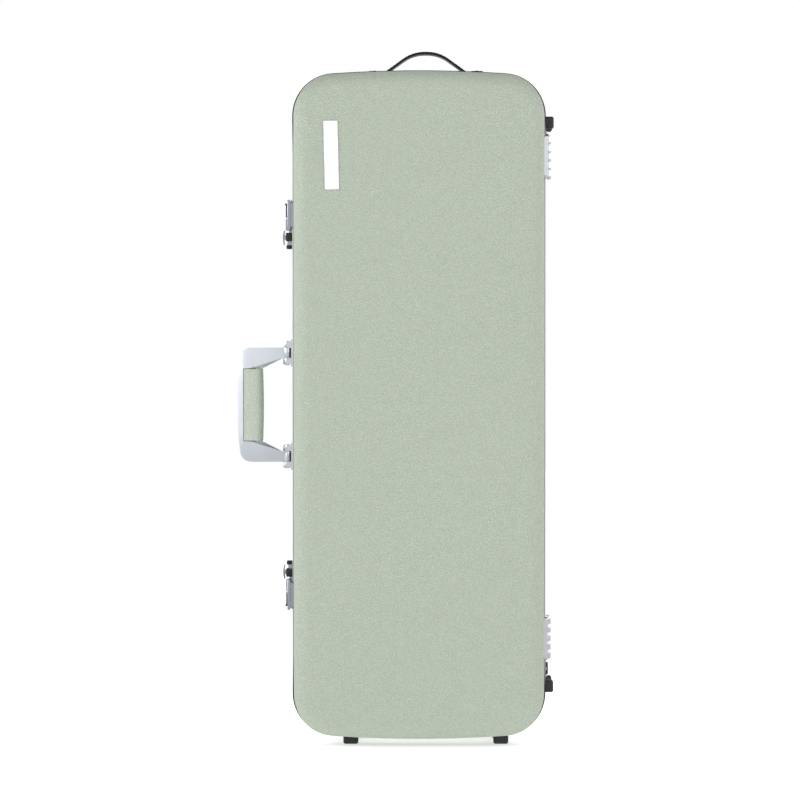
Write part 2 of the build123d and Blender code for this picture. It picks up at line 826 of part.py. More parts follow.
def ring_holder(height):
    with BuildPart(mode=Mode.PRIVATE) as holder:
        with BuildSketch(hinge_face(holder_plate_thickness)):
            with Locations((ring_setback - holder_plate_reach / 2, height)):
                RectangleRounded(holder_plate_reach, holder_height, holder_corner_radius)
        extrude(amount=-holder_plate_thickness - seat_depth)
        with BuildSketch(hinge_section(height - holder_height / 2)):
            with Locations((ring_axis_level, ring_setback)):
                Circle(holder_radius)
            with Locations((holder_plate_thickness / 2, ring_setback - holder_radius / 2)):
                Rectangle(holder_plate_thickness, holder_radius)
            make_hull()
        extrude(amount=holder_height)
        with BuildSketch(hinge_section(height - holder_height / 2)):
            with Locations((ring_axis_level, ring_setback)):
                Circle(ring_wire_radius + ring_clearance)
        extrude(amount=holder_height, mode=Mode.SUBTRACT)
        add(back_blank, mode=Mode.SUBTRACT)
    return holder.part


for ring_name, height in (("upper", half_height - ring_inset), ("lower", ring_inset - half_height)):
    with BuildPart() as ring:
        add(strap_ring(height))
    save(ring, f"strap_ring_{ring_name}")
    with BuildPart() as holder:
        add(ring_holder(height))
    save(holder, f"ring_holder_{ring_name}")


# Padded interior: a foam cradle round the viola's body and a tray round its neck
cradle_depth = back_depth - half_gap - shell_wall - cradle_clearance
room_floor = facing_front(cradle_drop + viola_room_depth)
room_low = -half_height + room_inset + cradle_end_wall
room_high = room_low + viola_room_length
tray_low = room_high + tray_gap
scroll_high = room_low + viola_room_total
neck_low = room_high - tray_gap

with BuildPart() as padding:
    add(half_form(back_seam, back_draft, room_inset + cradle_clearance, cradle_depth, edge_bevel=back_room_bevel))
    split(bisect_by=facing_back(cradle_drop), keep=Keep.TOP)
    with BuildSketch(room_floor):
        with BuildLine():
            half_body = Spline(
                (0, room_low),
                (lower_bout_room / 2, room_low + lower_bout_share * viola_room_length),
                (waist_room / 2, room_low + waist_share * viola_room_length),
                (upper_bout_room / 2, room_low + upper_bout_share * viola_room_length),
                (0, room_high),
                tangents=[(1, 0), (-1, 0)],
            )
            mirror(half_body, about=Plane.YZ)
        make_face()
        with Locations((0, (neck_low + scroll_high - scroll_room_radius) / 2)):
            Rectangle(neck_room, scroll_high - scroll_room_radius - neck_low)
        with Locations((0, scroll_high - scroll_room_length / 2)):
            RectangleRounded(scroll_room_width, scroll_room_length, scroll_room_radius)
    extrude(amount=viola_room_depth + overrun, mode=Mode.SUBTRACT)
    pocket_floor = facing_front(cradle_drop + pocket_depth)
    pocket_low = tray_low + pocket_divider
    for side in (-1, 1):
        pocket_inner = scroll_room_width / 2 + pocket_divider
        with BuildSketch(pocket_floor) as pocket:
            with Locations((side * (pocket_inner + half_width) / 2, (pocket_low + half_height) / 2)):
                Rectangle(half_width - pocket_inner, half_height - pocket_low)
            add(rim_outline(room_inset + pocket_wall), mode=Mode.INTERSECT)
            fillet(pocket.vertices().sort_by(Axis.Y)[:2], pocket_corner_radius)
        extrude(amount=pocket_depth + overrun, mode=Mode.SUBTRACT)

with BuildPart() as cradle:
    add(padding.part)
    split(bisect_by=Plane.XY.offset(body_z + tray_low), keep=Keep.BOTTOM)
save(cradle, "cradle")

with BuildPart() as tray:
    add(padding.part)
    split(bisect_by=Plane.XY.offset(body_z + tray_low + cradle_break), keep=Keep.TOP)
save(tray, "tray")


def interior_section(height):
    """x runs to the right, y towards the back."""
    return Plane(origin=(body_x, seam_y, body_z + height), x_dir=(1, 0, 0), z_dir=(0, 0, 1))


neck_rest_top = cradle_drop + viola_room_depth - neck_rest_height
with BuildPart() as neck_rest:
    with BuildSketch(interior_section(tray_low + neck_rest_rise)):
        with Locations((0, neck_rest_top + neck_rest_height / 2)):
            Rectangle(neck_room - 2 * cradle_clearance, neck_rest_height - 2 * cradle_clearance)
        with Locations((0, neck_rest_top)):
            Circle(neck_rest_notch_radius, mode=Mode.SUBTRACT)
    extrude(amount=neck_rest_length)
save(neck_rest, "neck_rest")

strap_level = cradle_drop - cradle_clearance - neck_strap_thickness / 2
with BuildPart() as neck_strap:
    with BuildSketch(interior_section(tray_low + neck_rest_rise)):
        with BuildLine():
            FilletPolyline(
                (-neck_room / 2 - neck_strap_tab, strap_level),
                (-neck_room / 2, strap_level),
                (-neck_room / 4, strap_level - neck_strap_bulge),
                (neck_room / 4, strap_level - neck_strap_bulge),
                (neck_room / 2, strap_level),
                (neck_room / 2 + neck_strap_tab, strap_level),
                radius=neck_strap_bulge / 2,
            )
        trace(line_width=neck_strap_thickness)
    extrude(amount=neck_strap_length)
save(neck_strap, "neck_strap")


# Lid interior: a plush lining, two bow rests with turning spinners, and two tip pockets
lining_depth = lid_depth - half_gap - shell_wall - cradle_clearance
lining_inset = room_inset + cradle_clearance
lining_face = lid_depth - shell_wall - cradle_clearance - lining_thickness
rest_floor = lining_face - cradle_clearance

with BuildPart() as lid_lining:
    add(half_form(lid_seam, lid_draft, lining_inset, lining_depth, edge_bevel=lid_room_bevel))
    lining_room_depth = lining_depth - lining_thickness
    lining_room_inset = lining_inset + lining_thickness
    lining_room = half_form(
        lid_seam, lid_draft, lining_room_inset, lining_room_depth, edge_bevel=lid_room_bevel
    )
    add(lining_room, mode=Mode.SUBTRACT)
    split(bisect_by=facing_front(-lining_drop), keep=Keep.TOP)
save(lid_lining, "lid_lining")


def lid_inside(level):
    """Inside the lid, this far in front of the seam and facing back: x to the right, y down."""
    return Plane(origin=(body_x, seam_y - level, body_z), x_dir=(1, 0, 0), z_dir=(0, 1, 0))


bow_rest_drop = half_height - bow_rest_inset
tip_pocket_rise = half_height - tip_pocket_inset

for side_name, side in (("left", -1), ("right", 1)):
    rest_x = side * (half_width - bow_side_inset)
    shaft_x = rest_x - side * spinner_offset
    with BuildPart() as bow_rest:
        with BuildSketch(lid_inside(rest_floor)):
            with Locations((rest_x, bow_rest_drop)):
                RectangleRounded(bow_rest_width, bow_rest_length, bow_rest_radius)
        extrude(amount=bow_rest_thickness)
        with BuildSketch(interior_section(-bow_rest_drop - bow_rest_length / 2)):
            with Locations((rest_x + side * bow_notch_offset, bow_rest_thickness - rest_floor)):
                Circle(bow_notch_radius)
        extrude(amount=bow_rest_length, mode=Mode.SUBTRACT)
        with BuildSketch(lid_inside(rest_floor - bow_rest_thickness)):
            with Locations((shaft_x, bow_rest_drop)):
                Circle(spinner_shaft_radius + pin_clearance)
        extrude(amount=-spinner_shaft_depth - spinner_lift, mode=Mode.SUBTRACT)
    save(bow_rest, f"bow_rest_{side_name}")

    with BuildPart() as bow_spinner:
        with BuildSketch(lid_inside(rest_floor - bow_rest_thickness - spinner_lift)):
            with Locations((shaft_x + side * (spinner_length - spinner_width) / 2, bow_rest_drop)):
                SlotOverall(spinner_length, spinner_width)
        extrude(amount=spinner_thickness)
        chamfer(bow_spinner.faces().sort_by(Axis.Y)[-1].edges(), spinner_bevel)
        with BuildSketch(lid_inside(rest_floor - bow_rest_thickness - spinner_lift)):
            with Locations((shaft_x, bow_rest_drop)):
                Circle(spinner_shaft_radius)
        extrude(amount=-spinner_shaft_depth)
    save(bow_spinner, f"bow_spinner_{side_name}")

    with BuildPart() as tip_pocket:
        with BuildSketch(lid_inside(rest_floor)):
            with Locations((rest_x, -tip_pocket_rise)):
                RectangleRounded(tip_pocket_width, tip_pocket_length, tip_pocket_radius)
        extrude(amount=tip_pocket_height)
        with BuildSketch(interior_section(tip_pocket_rise - tip_pocket_length / 2)):
            with Locations((rest_x, tip_pocket_height / 2 - rest_floor)):
                Rectangle(tip_pocket_width - 2 * tip_pocket_wall, tip_pocket_height - 2 * tip_pocket_wall)
        extrude(amount=tip_pocket_length - tip_pocket_wall, mode=Mode.SUBTRACT)
    save(tip_pocket, f"tip_pocket_{side_name}")
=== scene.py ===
import json
import math

import bmesh
import bpy
from mathutils import Matrix, Vector

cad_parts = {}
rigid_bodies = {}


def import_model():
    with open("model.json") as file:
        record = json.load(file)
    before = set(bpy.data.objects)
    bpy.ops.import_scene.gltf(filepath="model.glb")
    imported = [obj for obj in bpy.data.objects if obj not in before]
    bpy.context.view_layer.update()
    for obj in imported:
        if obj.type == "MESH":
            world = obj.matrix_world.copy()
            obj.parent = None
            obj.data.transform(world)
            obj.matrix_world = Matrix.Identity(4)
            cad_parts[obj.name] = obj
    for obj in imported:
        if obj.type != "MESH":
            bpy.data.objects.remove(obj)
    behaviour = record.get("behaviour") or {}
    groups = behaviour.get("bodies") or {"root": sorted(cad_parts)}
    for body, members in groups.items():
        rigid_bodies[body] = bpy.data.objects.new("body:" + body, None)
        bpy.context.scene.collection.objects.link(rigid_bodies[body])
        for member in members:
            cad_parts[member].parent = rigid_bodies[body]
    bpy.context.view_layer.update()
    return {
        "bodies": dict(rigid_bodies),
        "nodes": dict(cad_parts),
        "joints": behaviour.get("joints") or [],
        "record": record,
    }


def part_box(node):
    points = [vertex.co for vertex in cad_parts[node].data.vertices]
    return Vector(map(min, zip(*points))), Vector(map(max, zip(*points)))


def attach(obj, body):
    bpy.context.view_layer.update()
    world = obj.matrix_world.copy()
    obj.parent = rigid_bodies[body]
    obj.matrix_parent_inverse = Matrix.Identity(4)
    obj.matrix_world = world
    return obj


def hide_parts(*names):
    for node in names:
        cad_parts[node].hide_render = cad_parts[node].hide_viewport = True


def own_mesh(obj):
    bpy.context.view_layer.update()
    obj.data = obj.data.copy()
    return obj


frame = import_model()
nodes = frame["nodes"]
print("stage: frame loaded")

# Where the case stands in the frame, read from its own pieces
shellLow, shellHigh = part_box("back_channel")
bodyX = (shellLow.x + shellHigh.x) / 2
bodyZ = (shellLow.z + shellHigh.z) / 2
latchSide = shellLow.x
hingeSide = shellHigh.x
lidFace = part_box("lid_shell")[0].y
seamY = shellLow.y - 0.001


# Picking and editing, where points nearer than this count as one
same = 0.00001


def pickPiece(piece):
    bpy.ops.object.select_all(action="DESELECT")
    piece.select_set(True)
    bpy.context.view_layer.objects.active = piece


def placeAtOrigin(piece):
    pickPiece(piece)
    bpy.ops.object.transform_apply(location=True, rotation=True, scale=True)


def setAll(thing, settings):
    for key, value in settings.items():
        setattr(thing, key, value)


# Gives the picked piece a modifier and applies it.
def applyModifier(piece, kind, **settings):
    modifier = piece.modifiers.new(kind, kind)
    setAll(modifier, settings)
    bpy.ops.object.modifier_apply(modifier=modifier.name)


def addBlock(name, centre, size):
    bpy.ops.mesh.primitive_cube_add(size=1, location=centre)
    piece = bpy.context.object
    piece.name = name
    piece.scale = size
    placeAtOrigin(piece)
    return piece


def addRod(name, centre, radius, length, axis="Z", sides=24):
    turn = {"Z": (0, 0, 0), "X": (0, math.pi / 2, 0), "Y": (math.pi / 2, 0, 0)}[axis]
    bpy.ops.mesh.primitive_cylinder_add(vertices=sides, radius=radius, depth=length, location=centre, rotation=turn)
    piece = bpy.context.object
    piece.name = name
    placeAtOrigin(piece)
    return piece


# The value that lies a share of the way from one to the other.
def between(start, end, share):
    return start + share * (end - start)


# Fills open rims, merges double points and turns the faces outward.
def closeMesh(piece, fill=True, merge=True):
    pickPiece(piece)
    bpy.ops.object.mode_set(mode="EDIT")
    if fill:
        bpy.ops.mesh.select_all(action="DESELECT")
        bpy.ops.mesh.select_mode(type="EDGE")
        bpy.ops.mesh.select_non_manifold()
        bpy.ops.mesh.edge_face_add()
    bpy.ops.mesh.select_all(action="SELECT")
    if merge:
        bpy.ops.mesh.remove_doubles(threshold=same)
    bpy.ops.mesh.normals_make_consistent(inside=False)
    bpy.ops.object.mode_set(mode="OBJECT")


# Rounds the edges whose two ends pass the test, and no others.
def roundEdges(piece, width, steps, wanted):
    pickPiece(piece)
    points = piece.data.vertices
    for part in (*piece.data.polygons, *points):
        part.select = False
    for edge in piece.data.edges:
        one, two = (points[index] for index in edge.vertices)
        edge.select = wanted(one.co, two.co)
        if edge.select:
            one.select = two.select = True
    bpy.ops.object.mode_set(mode="EDIT")
    bpy.ops.mesh.select_mode(type="EDGE")
    bpy.ops.mesh.bevel(offset=width, segments=steps, affect="EDGES")
    bpy.ops.object.mode_set(mode="OBJECT")


def bevelSettings(width, steps, angle):
    return {"width": width, "segments": steps, "limit_method": "ANGLE", "angle_limit": math.radians(angle)}


# Rounds every edge sharper than the angle.
def roundAll(piece, width, steps=3, angle=40):
    pickPiece(piece)
    applyModifier(piece, "BEVEL", **bevelSettings(width, steps, angle))
    smooth(piece)


def smooth(piece, angle=40):
    pickPiece(piece)
    bpy.ops.object.shade_smooth_by_angle(angle=math.radians(angle))


# A copy with a mesh of its own, moved, or mirrored about the middle of the case.
def copyPiece(piece, name, shift=(0, 0, 0), mirrorZ=False):
    copy = piece.copy()
    copy.data = piece.data.copy()
    copy.name = name
    copy.parent = None
    bpy.context.collection.objects.link(copy)
    if mirrorZ:
        copy.data.transform(Matrix.Translation((0, 0, 2 * bodyZ)) @ Matrix.Diagonal((1, 1, -1, 1)))
        copy.data.flip_normals()
    copy.data.transform(Matrix.Translation(shift))
    return copy


def joinPieces(pieces, name):
    pickPiece(pieces[0])
    for piece in pieces:
        piece.select_set(True)
    if len(pieces) > 1:
        bpy.ops.object.join()
    pieces[0].name = name
    return pieces[0]


def dress(piece, material, body):
    piece.data.materials.clear()
    piece.data.materials.append(material)
    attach(piece, body)
    return piece


# Material parts
def newMaterial(name):
    material = bpy.data.materials.new(name)
    material.use_nodes = True
    tree, links = material.node_tree.nodes, material.node_tree.links
    place = addNode(tree, "ShaderNodeTexCoord").outputs["Object"]
    return material, tree, links, tree["Principled BSDF"], place


# sRGB from 0 to 255, as the light values that Blender uses.
def linear(colour):
    return [(v / 255 / 12.92 if v <= 10 else ((v / 255 + 0.055) / 1.055) ** 2.4) for v in colour] + [1]


def setInputs(node, inputs):
    for key, value in inputs.items():
        node.inputs[key].default_value = value


def addNode(tree, kind, inputs=None, **settings):
    node = tree.new(kind)
    setAll(node, settings)
    setInputs(node, inputs or {})
    return node


def addNoise(tree, links, place, scale, detail=3, roughness=0.55):
    noise = addNode(tree, "ShaderNodeTexNoise", {"Scale": scale, "Detail": detail, "Roughness": roughness})
    links.new(place, noise.inputs["Vector"])
    return noise.outputs["Fac"]


def addRamp(tree, links, value, low, high, start=0.0, end=1.0):
    ramp = addNode(tree, "ShaderNodeMapRange", {"From Min": start, "From Max": end, "To Min": low, "To Max": high})
    links.new(value, ramp.inputs["Value"])
    return ramp.outputs["Result"]


def addBump(tree, links, height, strength, distance, onto=None):
    bump = addNode(tree, "ShaderNodeBump", {"Strength": strength, "Distance": distance})
    links.new(height, bump.inputs["Height"])
    if onto:
        links.new(onto, bump.inputs["Normal"])
    return bump.outputs["Normal"]


# The colour, made lighter or darker by an amount around 1.
def tint(tree, links, colour, amount):
    shade = addNode(tree, "ShaderNodeVectorMath", {0: linear(colour)[:3]}, operation="SCALE")
    links.new(amount, shade.inputs["Scale"])
    return shade.outputs[0]


def calculate(tree, links, operation, *values):
    result = addNode(tree, "ShaderNodeMath", operation=operation)
    for value, socket in zip(values, result.inputs):
        links.new(value, socket)
    return result.outputs[0]


def multiply(tree, links, first, second):
    return calculate(tree, links, "MULTIPLY", first, second)


# Leads the tinted colour, the unevenness and the shine into the shader.
def connect(tree, links, shader, look, shade, normal, gloss=None):
    links.new(tint(tree, links, look["colour"], shade), shader.inputs["Base Color"])
    links.new(normal, shader.inputs["Normal"])
    if gloss:
        links.new(gloss, shader.inputs["Roughness"])


# Materials
# Coated leather cloth: small uneven pebbles with soft creases between them, darkened in the colour as painted shade.
# Lengths are counted in pebbles.
leather = {
    "warp": 0.45, "lean": 0.7, "squeeze": 0.6, "creaseWidth": 0.2, "fine": 3.2, "strokes": 1.4, "patches": 9,
    "creaseDepth": 0.25, "fineDepth": 0.12,
}


def leatherMaterial(name, look):
    material, tree, links, shader, place = newMaterial(name)
    pebbleSize = look["grain"]
    warp = addNode(tree, "ShaderNodeTexNoise", {"Scale": 0.7 / pebbleSize, "Detail": 2})
    links.new(place, warp.inputs["Vector"])
    push = addNode(tree, "ShaderNodeVectorMath", {1: (pebbleSize * leather["warp"],) * 3}, operation="MULTIPLY_ADD")
    links.new(warp.outputs["Color"], push.inputs[0])
    links.new(place, push.inputs[2])
    turn = {"Rotation": (0, leather["lean"], 0), "Scale": (1, 1, leather["squeeze"])}
    mapping = addNode(tree, "ShaderNodeMapping", turn)
    links.new(push.outputs[0], mapping.inputs["Vector"])
    lean = mapping.outputs[0]
    cells = addNode(tree, "ShaderNodeTexVoronoi", {"Scale": 1 / pebbleSize}, feature="DISTANCE_TO_EDGE")
    links.new(lean, cells.inputs["Vector"])
    pebble = addRamp(tree, links, cells.outputs["Distance"], 0, 1, 0, leather["creaseWidth"])
    fine = addNoise(tree, links, lean, leather["fine"] / pebbleSize)
    strokes = addNoise(tree, links, lean, leather["strokes"] / pebbleSize, 2)
    patches = addNoise(tree, links, place, leather["patches"])
    # Darker in the creases between the pebbles: painted shade.
    shade = addRamp(tree, links, pebble, look["crease"], 1)
    shade = multiply(tree, links, shade, addRamp(tree, links, fine, 0.9, 1.09, 0.3, 0.7))
    shade = multiply(tree, links, shade, addRamp(tree, links, strokes, 0.985, 1.015, 0.3, 0.7))
    shade = multiply(tree, links, shade, addRamp(tree, links, patches, 0.985, 1.015))
    gloss = addRamp(tree, links, fine, look["roughness"] - 0.06, look["roughness"] + 0.08)
    shader.inputs["Specular IOR Level"].default_value = look["shine"]
    normal = addBump(tree, links, pebble, look["depth"], pebbleSize * leather["creaseDepth"])
    normal = addBump(tree, links, fine, 0.25, pebbleSize * leather["fineDepth"], normal)
    connect(tree, links, shader, look, shade, normal, gloss)
    return material


# How deep the skin of metal, rubber and plastic is uneven
skinDepth = 0.0002


# Cast, brushed or plated metal with fine unevenness in its shine.
def metalMaterial(name, look):
    material, tree, links, shader, place = newMaterial(name)
    stretch = addNode(tree, "ShaderNodeMapping", {"Scale": look.get("brush", (1, 1, 1))})
    links.new(place, stretch.inputs["Vector"])
    fine = addNoise(tree, links, stretch.outputs[0], look["grain"])
    broad = addNoise(tree, links, place, 40)
    shade = addRamp(tree, links, broad, 0.96, 1.04)
    gloss = addRamp(tree, links, fine, look["roughness"] * 0.8, look["roughness"] * 1.25)
    shader.inputs["Metallic"].default_value = look.get("metal", 1)
    normal = addBump(tree, links, fine, look["depth"], skinDepth)
    connect(tree, links, shader, look, shade, normal, gloss)
    return material


# Rubber or plastic: a fine matt skin with a slight mottle.
def mouldedMaterial(name, look):
    material, tree, links, shader, place = newMaterial(name)
    fine = addNoise(tree, links, place, look["grain"])
    broad = addNoise(tree, links, place, 60)
    shade = multiply(tree, links, addRamp(tree, links, broad, 0.88, 1.12), addRamp(tree, links, fine, 0.94, 1.06))
    gloss = addRamp(tree, links, fine, look["roughness"] - 0.07, look["roughness"] + 0.1)
    normal = addBump(tree, links, fine, look["depth"], skinDepth)
    connect(tree, links, shader, look, shade, normal, gloss)
    return material


# Short pile: a soft rim sheen, with patches where the pile leans another way.
pile = {"fibre": 2600, "tuft": 420, "patches": 22, "fibreDepth": 0.0003, "tuftDepth": 0.0006, "sheen": 0.6}


def plushMaterial(name, look):
    material, tree, links, shader, place = newMaterial(name)
    fibre = addNoise(tree, links, place, pile["fibre"], 2, 0.7)
    tuft = addNoise(tree, links, place, pile["tuft"], 3)
    patches = addNoise(tree, links, place, pile["patches"], 4)
    shade = addRamp(tree, links, patches, 0.86, 1.14, 0.3, 0.7)
    shade = multiply(tree, links, shade, addRamp(tree, links, fibre, 0.8, 1.2))
    shade = multiply(tree, links, shade, addRamp(tree, links, tuft, 0.88, 1.12))
    setInputs(shader, {"Roughness": 0.95, "Specular IOR Level": 0.1, "Sheen Weight": pile["sheen"]})
    setInputs(shader, {"Sheen Roughness": 0.35, "Sheen Tint": linear(look["sheen"])})
    normal = addBump(tree, links, tuft, 0.5, pile["tuftDepth"])
    normal = addBump(tree, links, fibre, 0.6, pile["fibreDepth"], normal)
    connect(tree, links, shader, look, shade, normal)
    return material


# Woven ribbon: two crossing sets of threads.
def webbingMaterial(name, look):
    material, tree, links, shader, place = newMaterial(name)
    rows = []
    settings = {"Scale": look["threads"], "Distortion": 0.4, "Detail": 1.0}
    for direction in ("X", "Z"):
        wave = addNode(tree, "ShaderNodeTexWave", settings, bands_direction=direction)
        links.new(place, wave.inputs["Vector"])
        rows.append(wave.outputs["Fac"])
    weave = multiply(tree, links, rows[0], rows[1])
    shade = addRamp(tree, links, weave, 0.7, 1.25)
    shader.inputs["Roughness"].default_value = 0.8
    connect(tree, links, shader, look, shade, addBump(tree, links, weave, 0.8, look["depth"]))
    return material


# The rim channel: brushed along its length, dark along both ends and bright along the straight sides. The bright
# colour along the sides is a painted reflection; the dark ends are the rim's own colour.
def channelMaterial(name, look):
    material = metalMaterial(name, look)
    tree, links = material.node_tree.nodes, material.node_tree.links
    place = addNode(tree, "ShaderNodeSeparateXYZ")
    links.new(addNode(tree, "ShaderNodeTexCoord").outputs["Object"], place.inputs[0])
    away = addNode(tree, "ShaderNodeMath", {1: bodyZ}, operation="SUBTRACT")
    links.new(place.outputs["Z"], away.inputs[0])
    distance = calculate(tree, links, "ABSOLUTE", away.outputs[0])
    # Mask of the ends, which keep the rim's own dark colour; outside it the sides get the painted reflection.
    ends = addRamp(tree, links, distance, 0, 1, look["darkFrom"], look["darkTo"])
    shader = tree["Principled BSDF"]
    blend = addNode(tree, "ShaderNodeMix", data_type="RGBA")
    links.new(ends, blend.inputs["Factor"])
    links.new(shader.inputs["Base Color"].links[0].from_socket, blend.inputs[6])
    blend.inputs[7].default_value = linear(look["ends"])
    links.new(blend.outputs[2], shader.inputs["Base Color"])
    return material


sage = (178, 188, 173)
# In each leather look, crease sets how dark the painted shade in the creases is.
cover = leatherMaterial("coverLeather", {
    "colour": sage, "grain": 0.0018, "crease": 0.8, "depth": 0.8, "roughness": 0.52, "shine": 0.35,
})
gripLeather = leatherMaterial("gripLeather", {
    "colour": (190, 200, 187), "grain": 0.0019, "crease": 0.88, "depth": 0.7, "roughness": 0.5, "shine": 0.35,
})
strapLeather = leatherMaterial("strapLeather", {
    "colour": (17, 17, 18), "grain": 0.0012, "crease": 0.7, "depth": 0.5, "roughness": 0.5, "shine": 0.35,
})
castMetal = metalMaterial("castMetal", {"colour": (229, 233, 241), "grain": 1600, "roughness": 0.32, "depth": 0.1})
bracketMetal = metalMaterial("bracketMetal", {
    "colour": (214, 217, 223), "grain": 1600, "roughness": 0.24, "depth": 0.08,
})
chrome = metalMaterial("chrome", {"colour": (230, 232, 237), "grain": 500, "roughness": 0.09, "depth": 0.02})
thumbMetal = metalMaterial("thumbMetal", {"colour": (158, 161, 168), "grain": 900, "roughness": 0.16, "depth": 0.04})
steel = metalMaterial("steel", {
    "colour": (196, 199, 204), "grain": 900, "roughness": 0.26, "depth": 0.08, "brush": (1, 1, 0.06),
})
latchMetal = metalMaterial("latchMetal", {"colour": (172, 176, 186), "grain": 1400, "roughness": 0.34, "depth": 0.1})
# The light colour is a painted reflection along the straight sides; the ends colour is the rim's own dark colour.
channelMetal = channelMaterial("channelMetal", {
    "colour": (196, 200, 198), "ends": (52, 55, 53), "darkFrom": 0.29, "darkTo": 0.33,
    "grain": 900, "roughness": 0.3, "depth": 0.06, "brush": (0.05, 1, 0.05),
})
blackMetal = metalMaterial("blackMetal", {
    "colour": (38, 38, 41), "grain": 1500, "roughness": 0.35, "depth": 0.1, "metal": 0.3,
})
rubber = mouldedMaterial("rubber", {"colour": (49, 49, 54), "grain": 1800, "roughness": 0.62, "depth": 0.3})
sealRubber = mouldedMaterial("sealRubber", {"colour": (26, 27, 28), "grain": 2200, "roughness": 0.7, "depth": 0.2})
blackPlastic = mouldedMaterial("blackPlastic", {
    "colour": (27, 27, 29), "grain": 1500, "roughness": 0.4, "depth": 0.12,
})
plateWhite = mouldedMaterial("plateWhite", {
    "colour": (250, 251, 252), "grain": 700, "roughness": 0.35, "depth": 0.04,
})
plateEdge = mouldedMaterial("plateEdge", {"colour": (196, 186, 184), "grain": 900, "roughness": 0.5, "depth": 0.05})
thread = mouldedMaterial("thread", {"colour": (60, 62, 60), "grain": 3000, "roughness": 0.7, "depth": 0.4})
seamDark = mouldedMaterial("seamDark", {"colour": (78, 86, 72), "grain": 2500, "roughness": 0.7, "depth": 0.3})
plush = plushMaterial("plush", {"colour": (118, 124, 120), "sheen": (190, 198, 192)})
ribbon = webbingMaterial("ribbon", {"colour": (36, 37, 40), "threads": 420, "depth": 0.0004})
print("stage: materials")

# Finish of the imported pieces: a material and how far the edges are rounded
finishOf = {
    "shell_cover": (cover, 0),
    "rim_channel": (channelMetal, 0.0003),
    "seal_rubber": (sealRubber, 0),
    "foot_rubber": (rubber, 0.0008),
    "cast_handle": (castMetal, 0.0007),
    "grip_leather": (gripLeather, 0),
    "bracket_metal": (bracketMetal, 0.0005),
    "hinge_chrome": (chrome, 0.0003),
    "steel_pin": (steel, 0.0002),
    "latch_steel": (latchMetal, 0.0003),
    "thumb_chrome": (thumbMetal, 0.0003),
    "thumb_black": (rubber, 0.0004),
    "strap_leather": (strapLeather, 0),
    "keeper_metal": (blackMetal, 0.0004),
    "holder_black": (blackPlastic, 0.0004),
    "ring_chrome": (chrome, 0),
    "cradle_plush": (plush, 0),
    "lining_plush": (plush, 0.001),
    "neck_ribbon": (ribbon, 0),
    "spinner_black": (blackPlastic, 0.0004),
}

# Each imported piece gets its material, and its edges the small rounding that catches light
for entry in frame["record"]["subparts"]:
    piece = nodes[entry["node"]]
    material, rounding = finishOf[entry["material_slot"]]
    piece.data.materials.clear()
    piece.data.materials.append(material)
    if rounding:
        piece.modifiers.new("weld", "WELD").merge_threshold = same
        bevel = piece.modifiers.new("rounding", "BEVEL")
        setAll(bevel, bevelSettings(rounding, 2, 35) | {"harden_normals": True})
print("stage: packed pieces finished")

# Bare plate on the lid
plate = {
    "x": -0.1008, "z": 0.2878, "width": 0.0166, "height": 0.079, "thickness": 0.0009,
    "corner": 0.0012, "rounding": 0.0002, "tilt": 1.3, "edge": 0.0007, "edgeDepth": 0.6, "sink": 0.0001,
}


def buildPlate():
    face = lidFace - plate["thickness"] / 2 + plate["sink"]
    centre = Vector((bodyX + plate["x"], face, bodyZ + plate["z"]))
    piece = addBlock("labelPlate", centre, (plate["width"], plate["thickness"], plate["height"]))
    roundEdges(piece, plate["corner"], 4, lambda a, b: abs(a.y - b.y) > plate["thickness"] / 2)
    roundAll(piece, plate["rounding"], 2)
    there, back = Matrix.Translation(centre), Matrix.Translation(-centre)
    piece.data.transform(there @ Matrix.Rotation(math.radians(-plate["tilt"]), 4, "Y") @ back)
    dress(piece, plateWhite, "lid")
    border = copyPiece(piece, "labelEdge")
    wider, taller = (1 + plate["edge"] / plate[side] for side in ("width", "height"))
    border.data.transform(there @ Matrix.Diagonal((wider, plate["edgeDepth"], taller, 1)) @ back)
    dress(border, plateEdge, "lid")


buildPlate()
print("stage: plate")

# Tubes along a path, made from a curve
def addTube(name, points, radius, closed, around):
    settings = {"dimensions": "3D", "bevel_depth": radius, "bevel_resolution": around, "use_fill_caps": not closed}
    piece = meshFromCurve(name, points, closed, settings)
    closeMesh(piece, fill=False)
    smooth(piece, 50)
    return piece


def meshFromCurve(name, points, closed, settings):
    curve = bpy.data.curves.new(name, "CURVE")
    setAll(curve, settings)
    spline = curve.splines.new("POLY")
    spline.points.add(len(points) - 1)
    for point, place in zip(spline.points, points):
        point.co = (*place, 1)
    spline.use_cyclic_u = closed
    piece = bpy.data.objects.new(name, curve)
    bpy.context.collection.objects.link(piece)
    pickPiece(piece)
    bpy.ops.object.convert(target="MESH")
    return bpy.context.object


# A rectangle with rounded corners, as points counted from its middle.
def roundLoop(width, height, radii, steps=6):
    points = []
    for turn, (across, up) in enumerate(((1, 1), (-1, 1), (-1, -1), (1, -1))):
        radius = radii[turn]
        for step in range(steps + 1):
            angle = math.pi / 2 * (turn + step / steps)
            x = across * (width / 2 - radius) + radius * math.cos(angle)
            z = up * (height / 2 - radius) + radius * math.sin(angle)
            points.append((x, z))
    return points


# Cast handle frame
casting = {
    "crown": 0.0024, "bevel": 0.0032, "bevelRise": 0.0012, "corner": 0.0135, "bow": 0.0027, "rounding": 0.0006,
    "knuckle": 0.0125, "barrel": 0.0048, "barrelRounding": 0.0004, "armStart": 0.0103, "knuckleThick": 0.0047,
    "taper": 0.0283, "leastThick": 0.003, "gripGap": 0.0002, "armEnd": 0.0045, "armEdge": 0.0108,
    "fold": 0.0120, "gripLap": 0.0006, "spineLap": 0.0030, "cornerLap": 0.0060, "noBevel": 0.0001,
    "foldRise": (0.0008, -0.0016), "innerLap": 0.004,
}


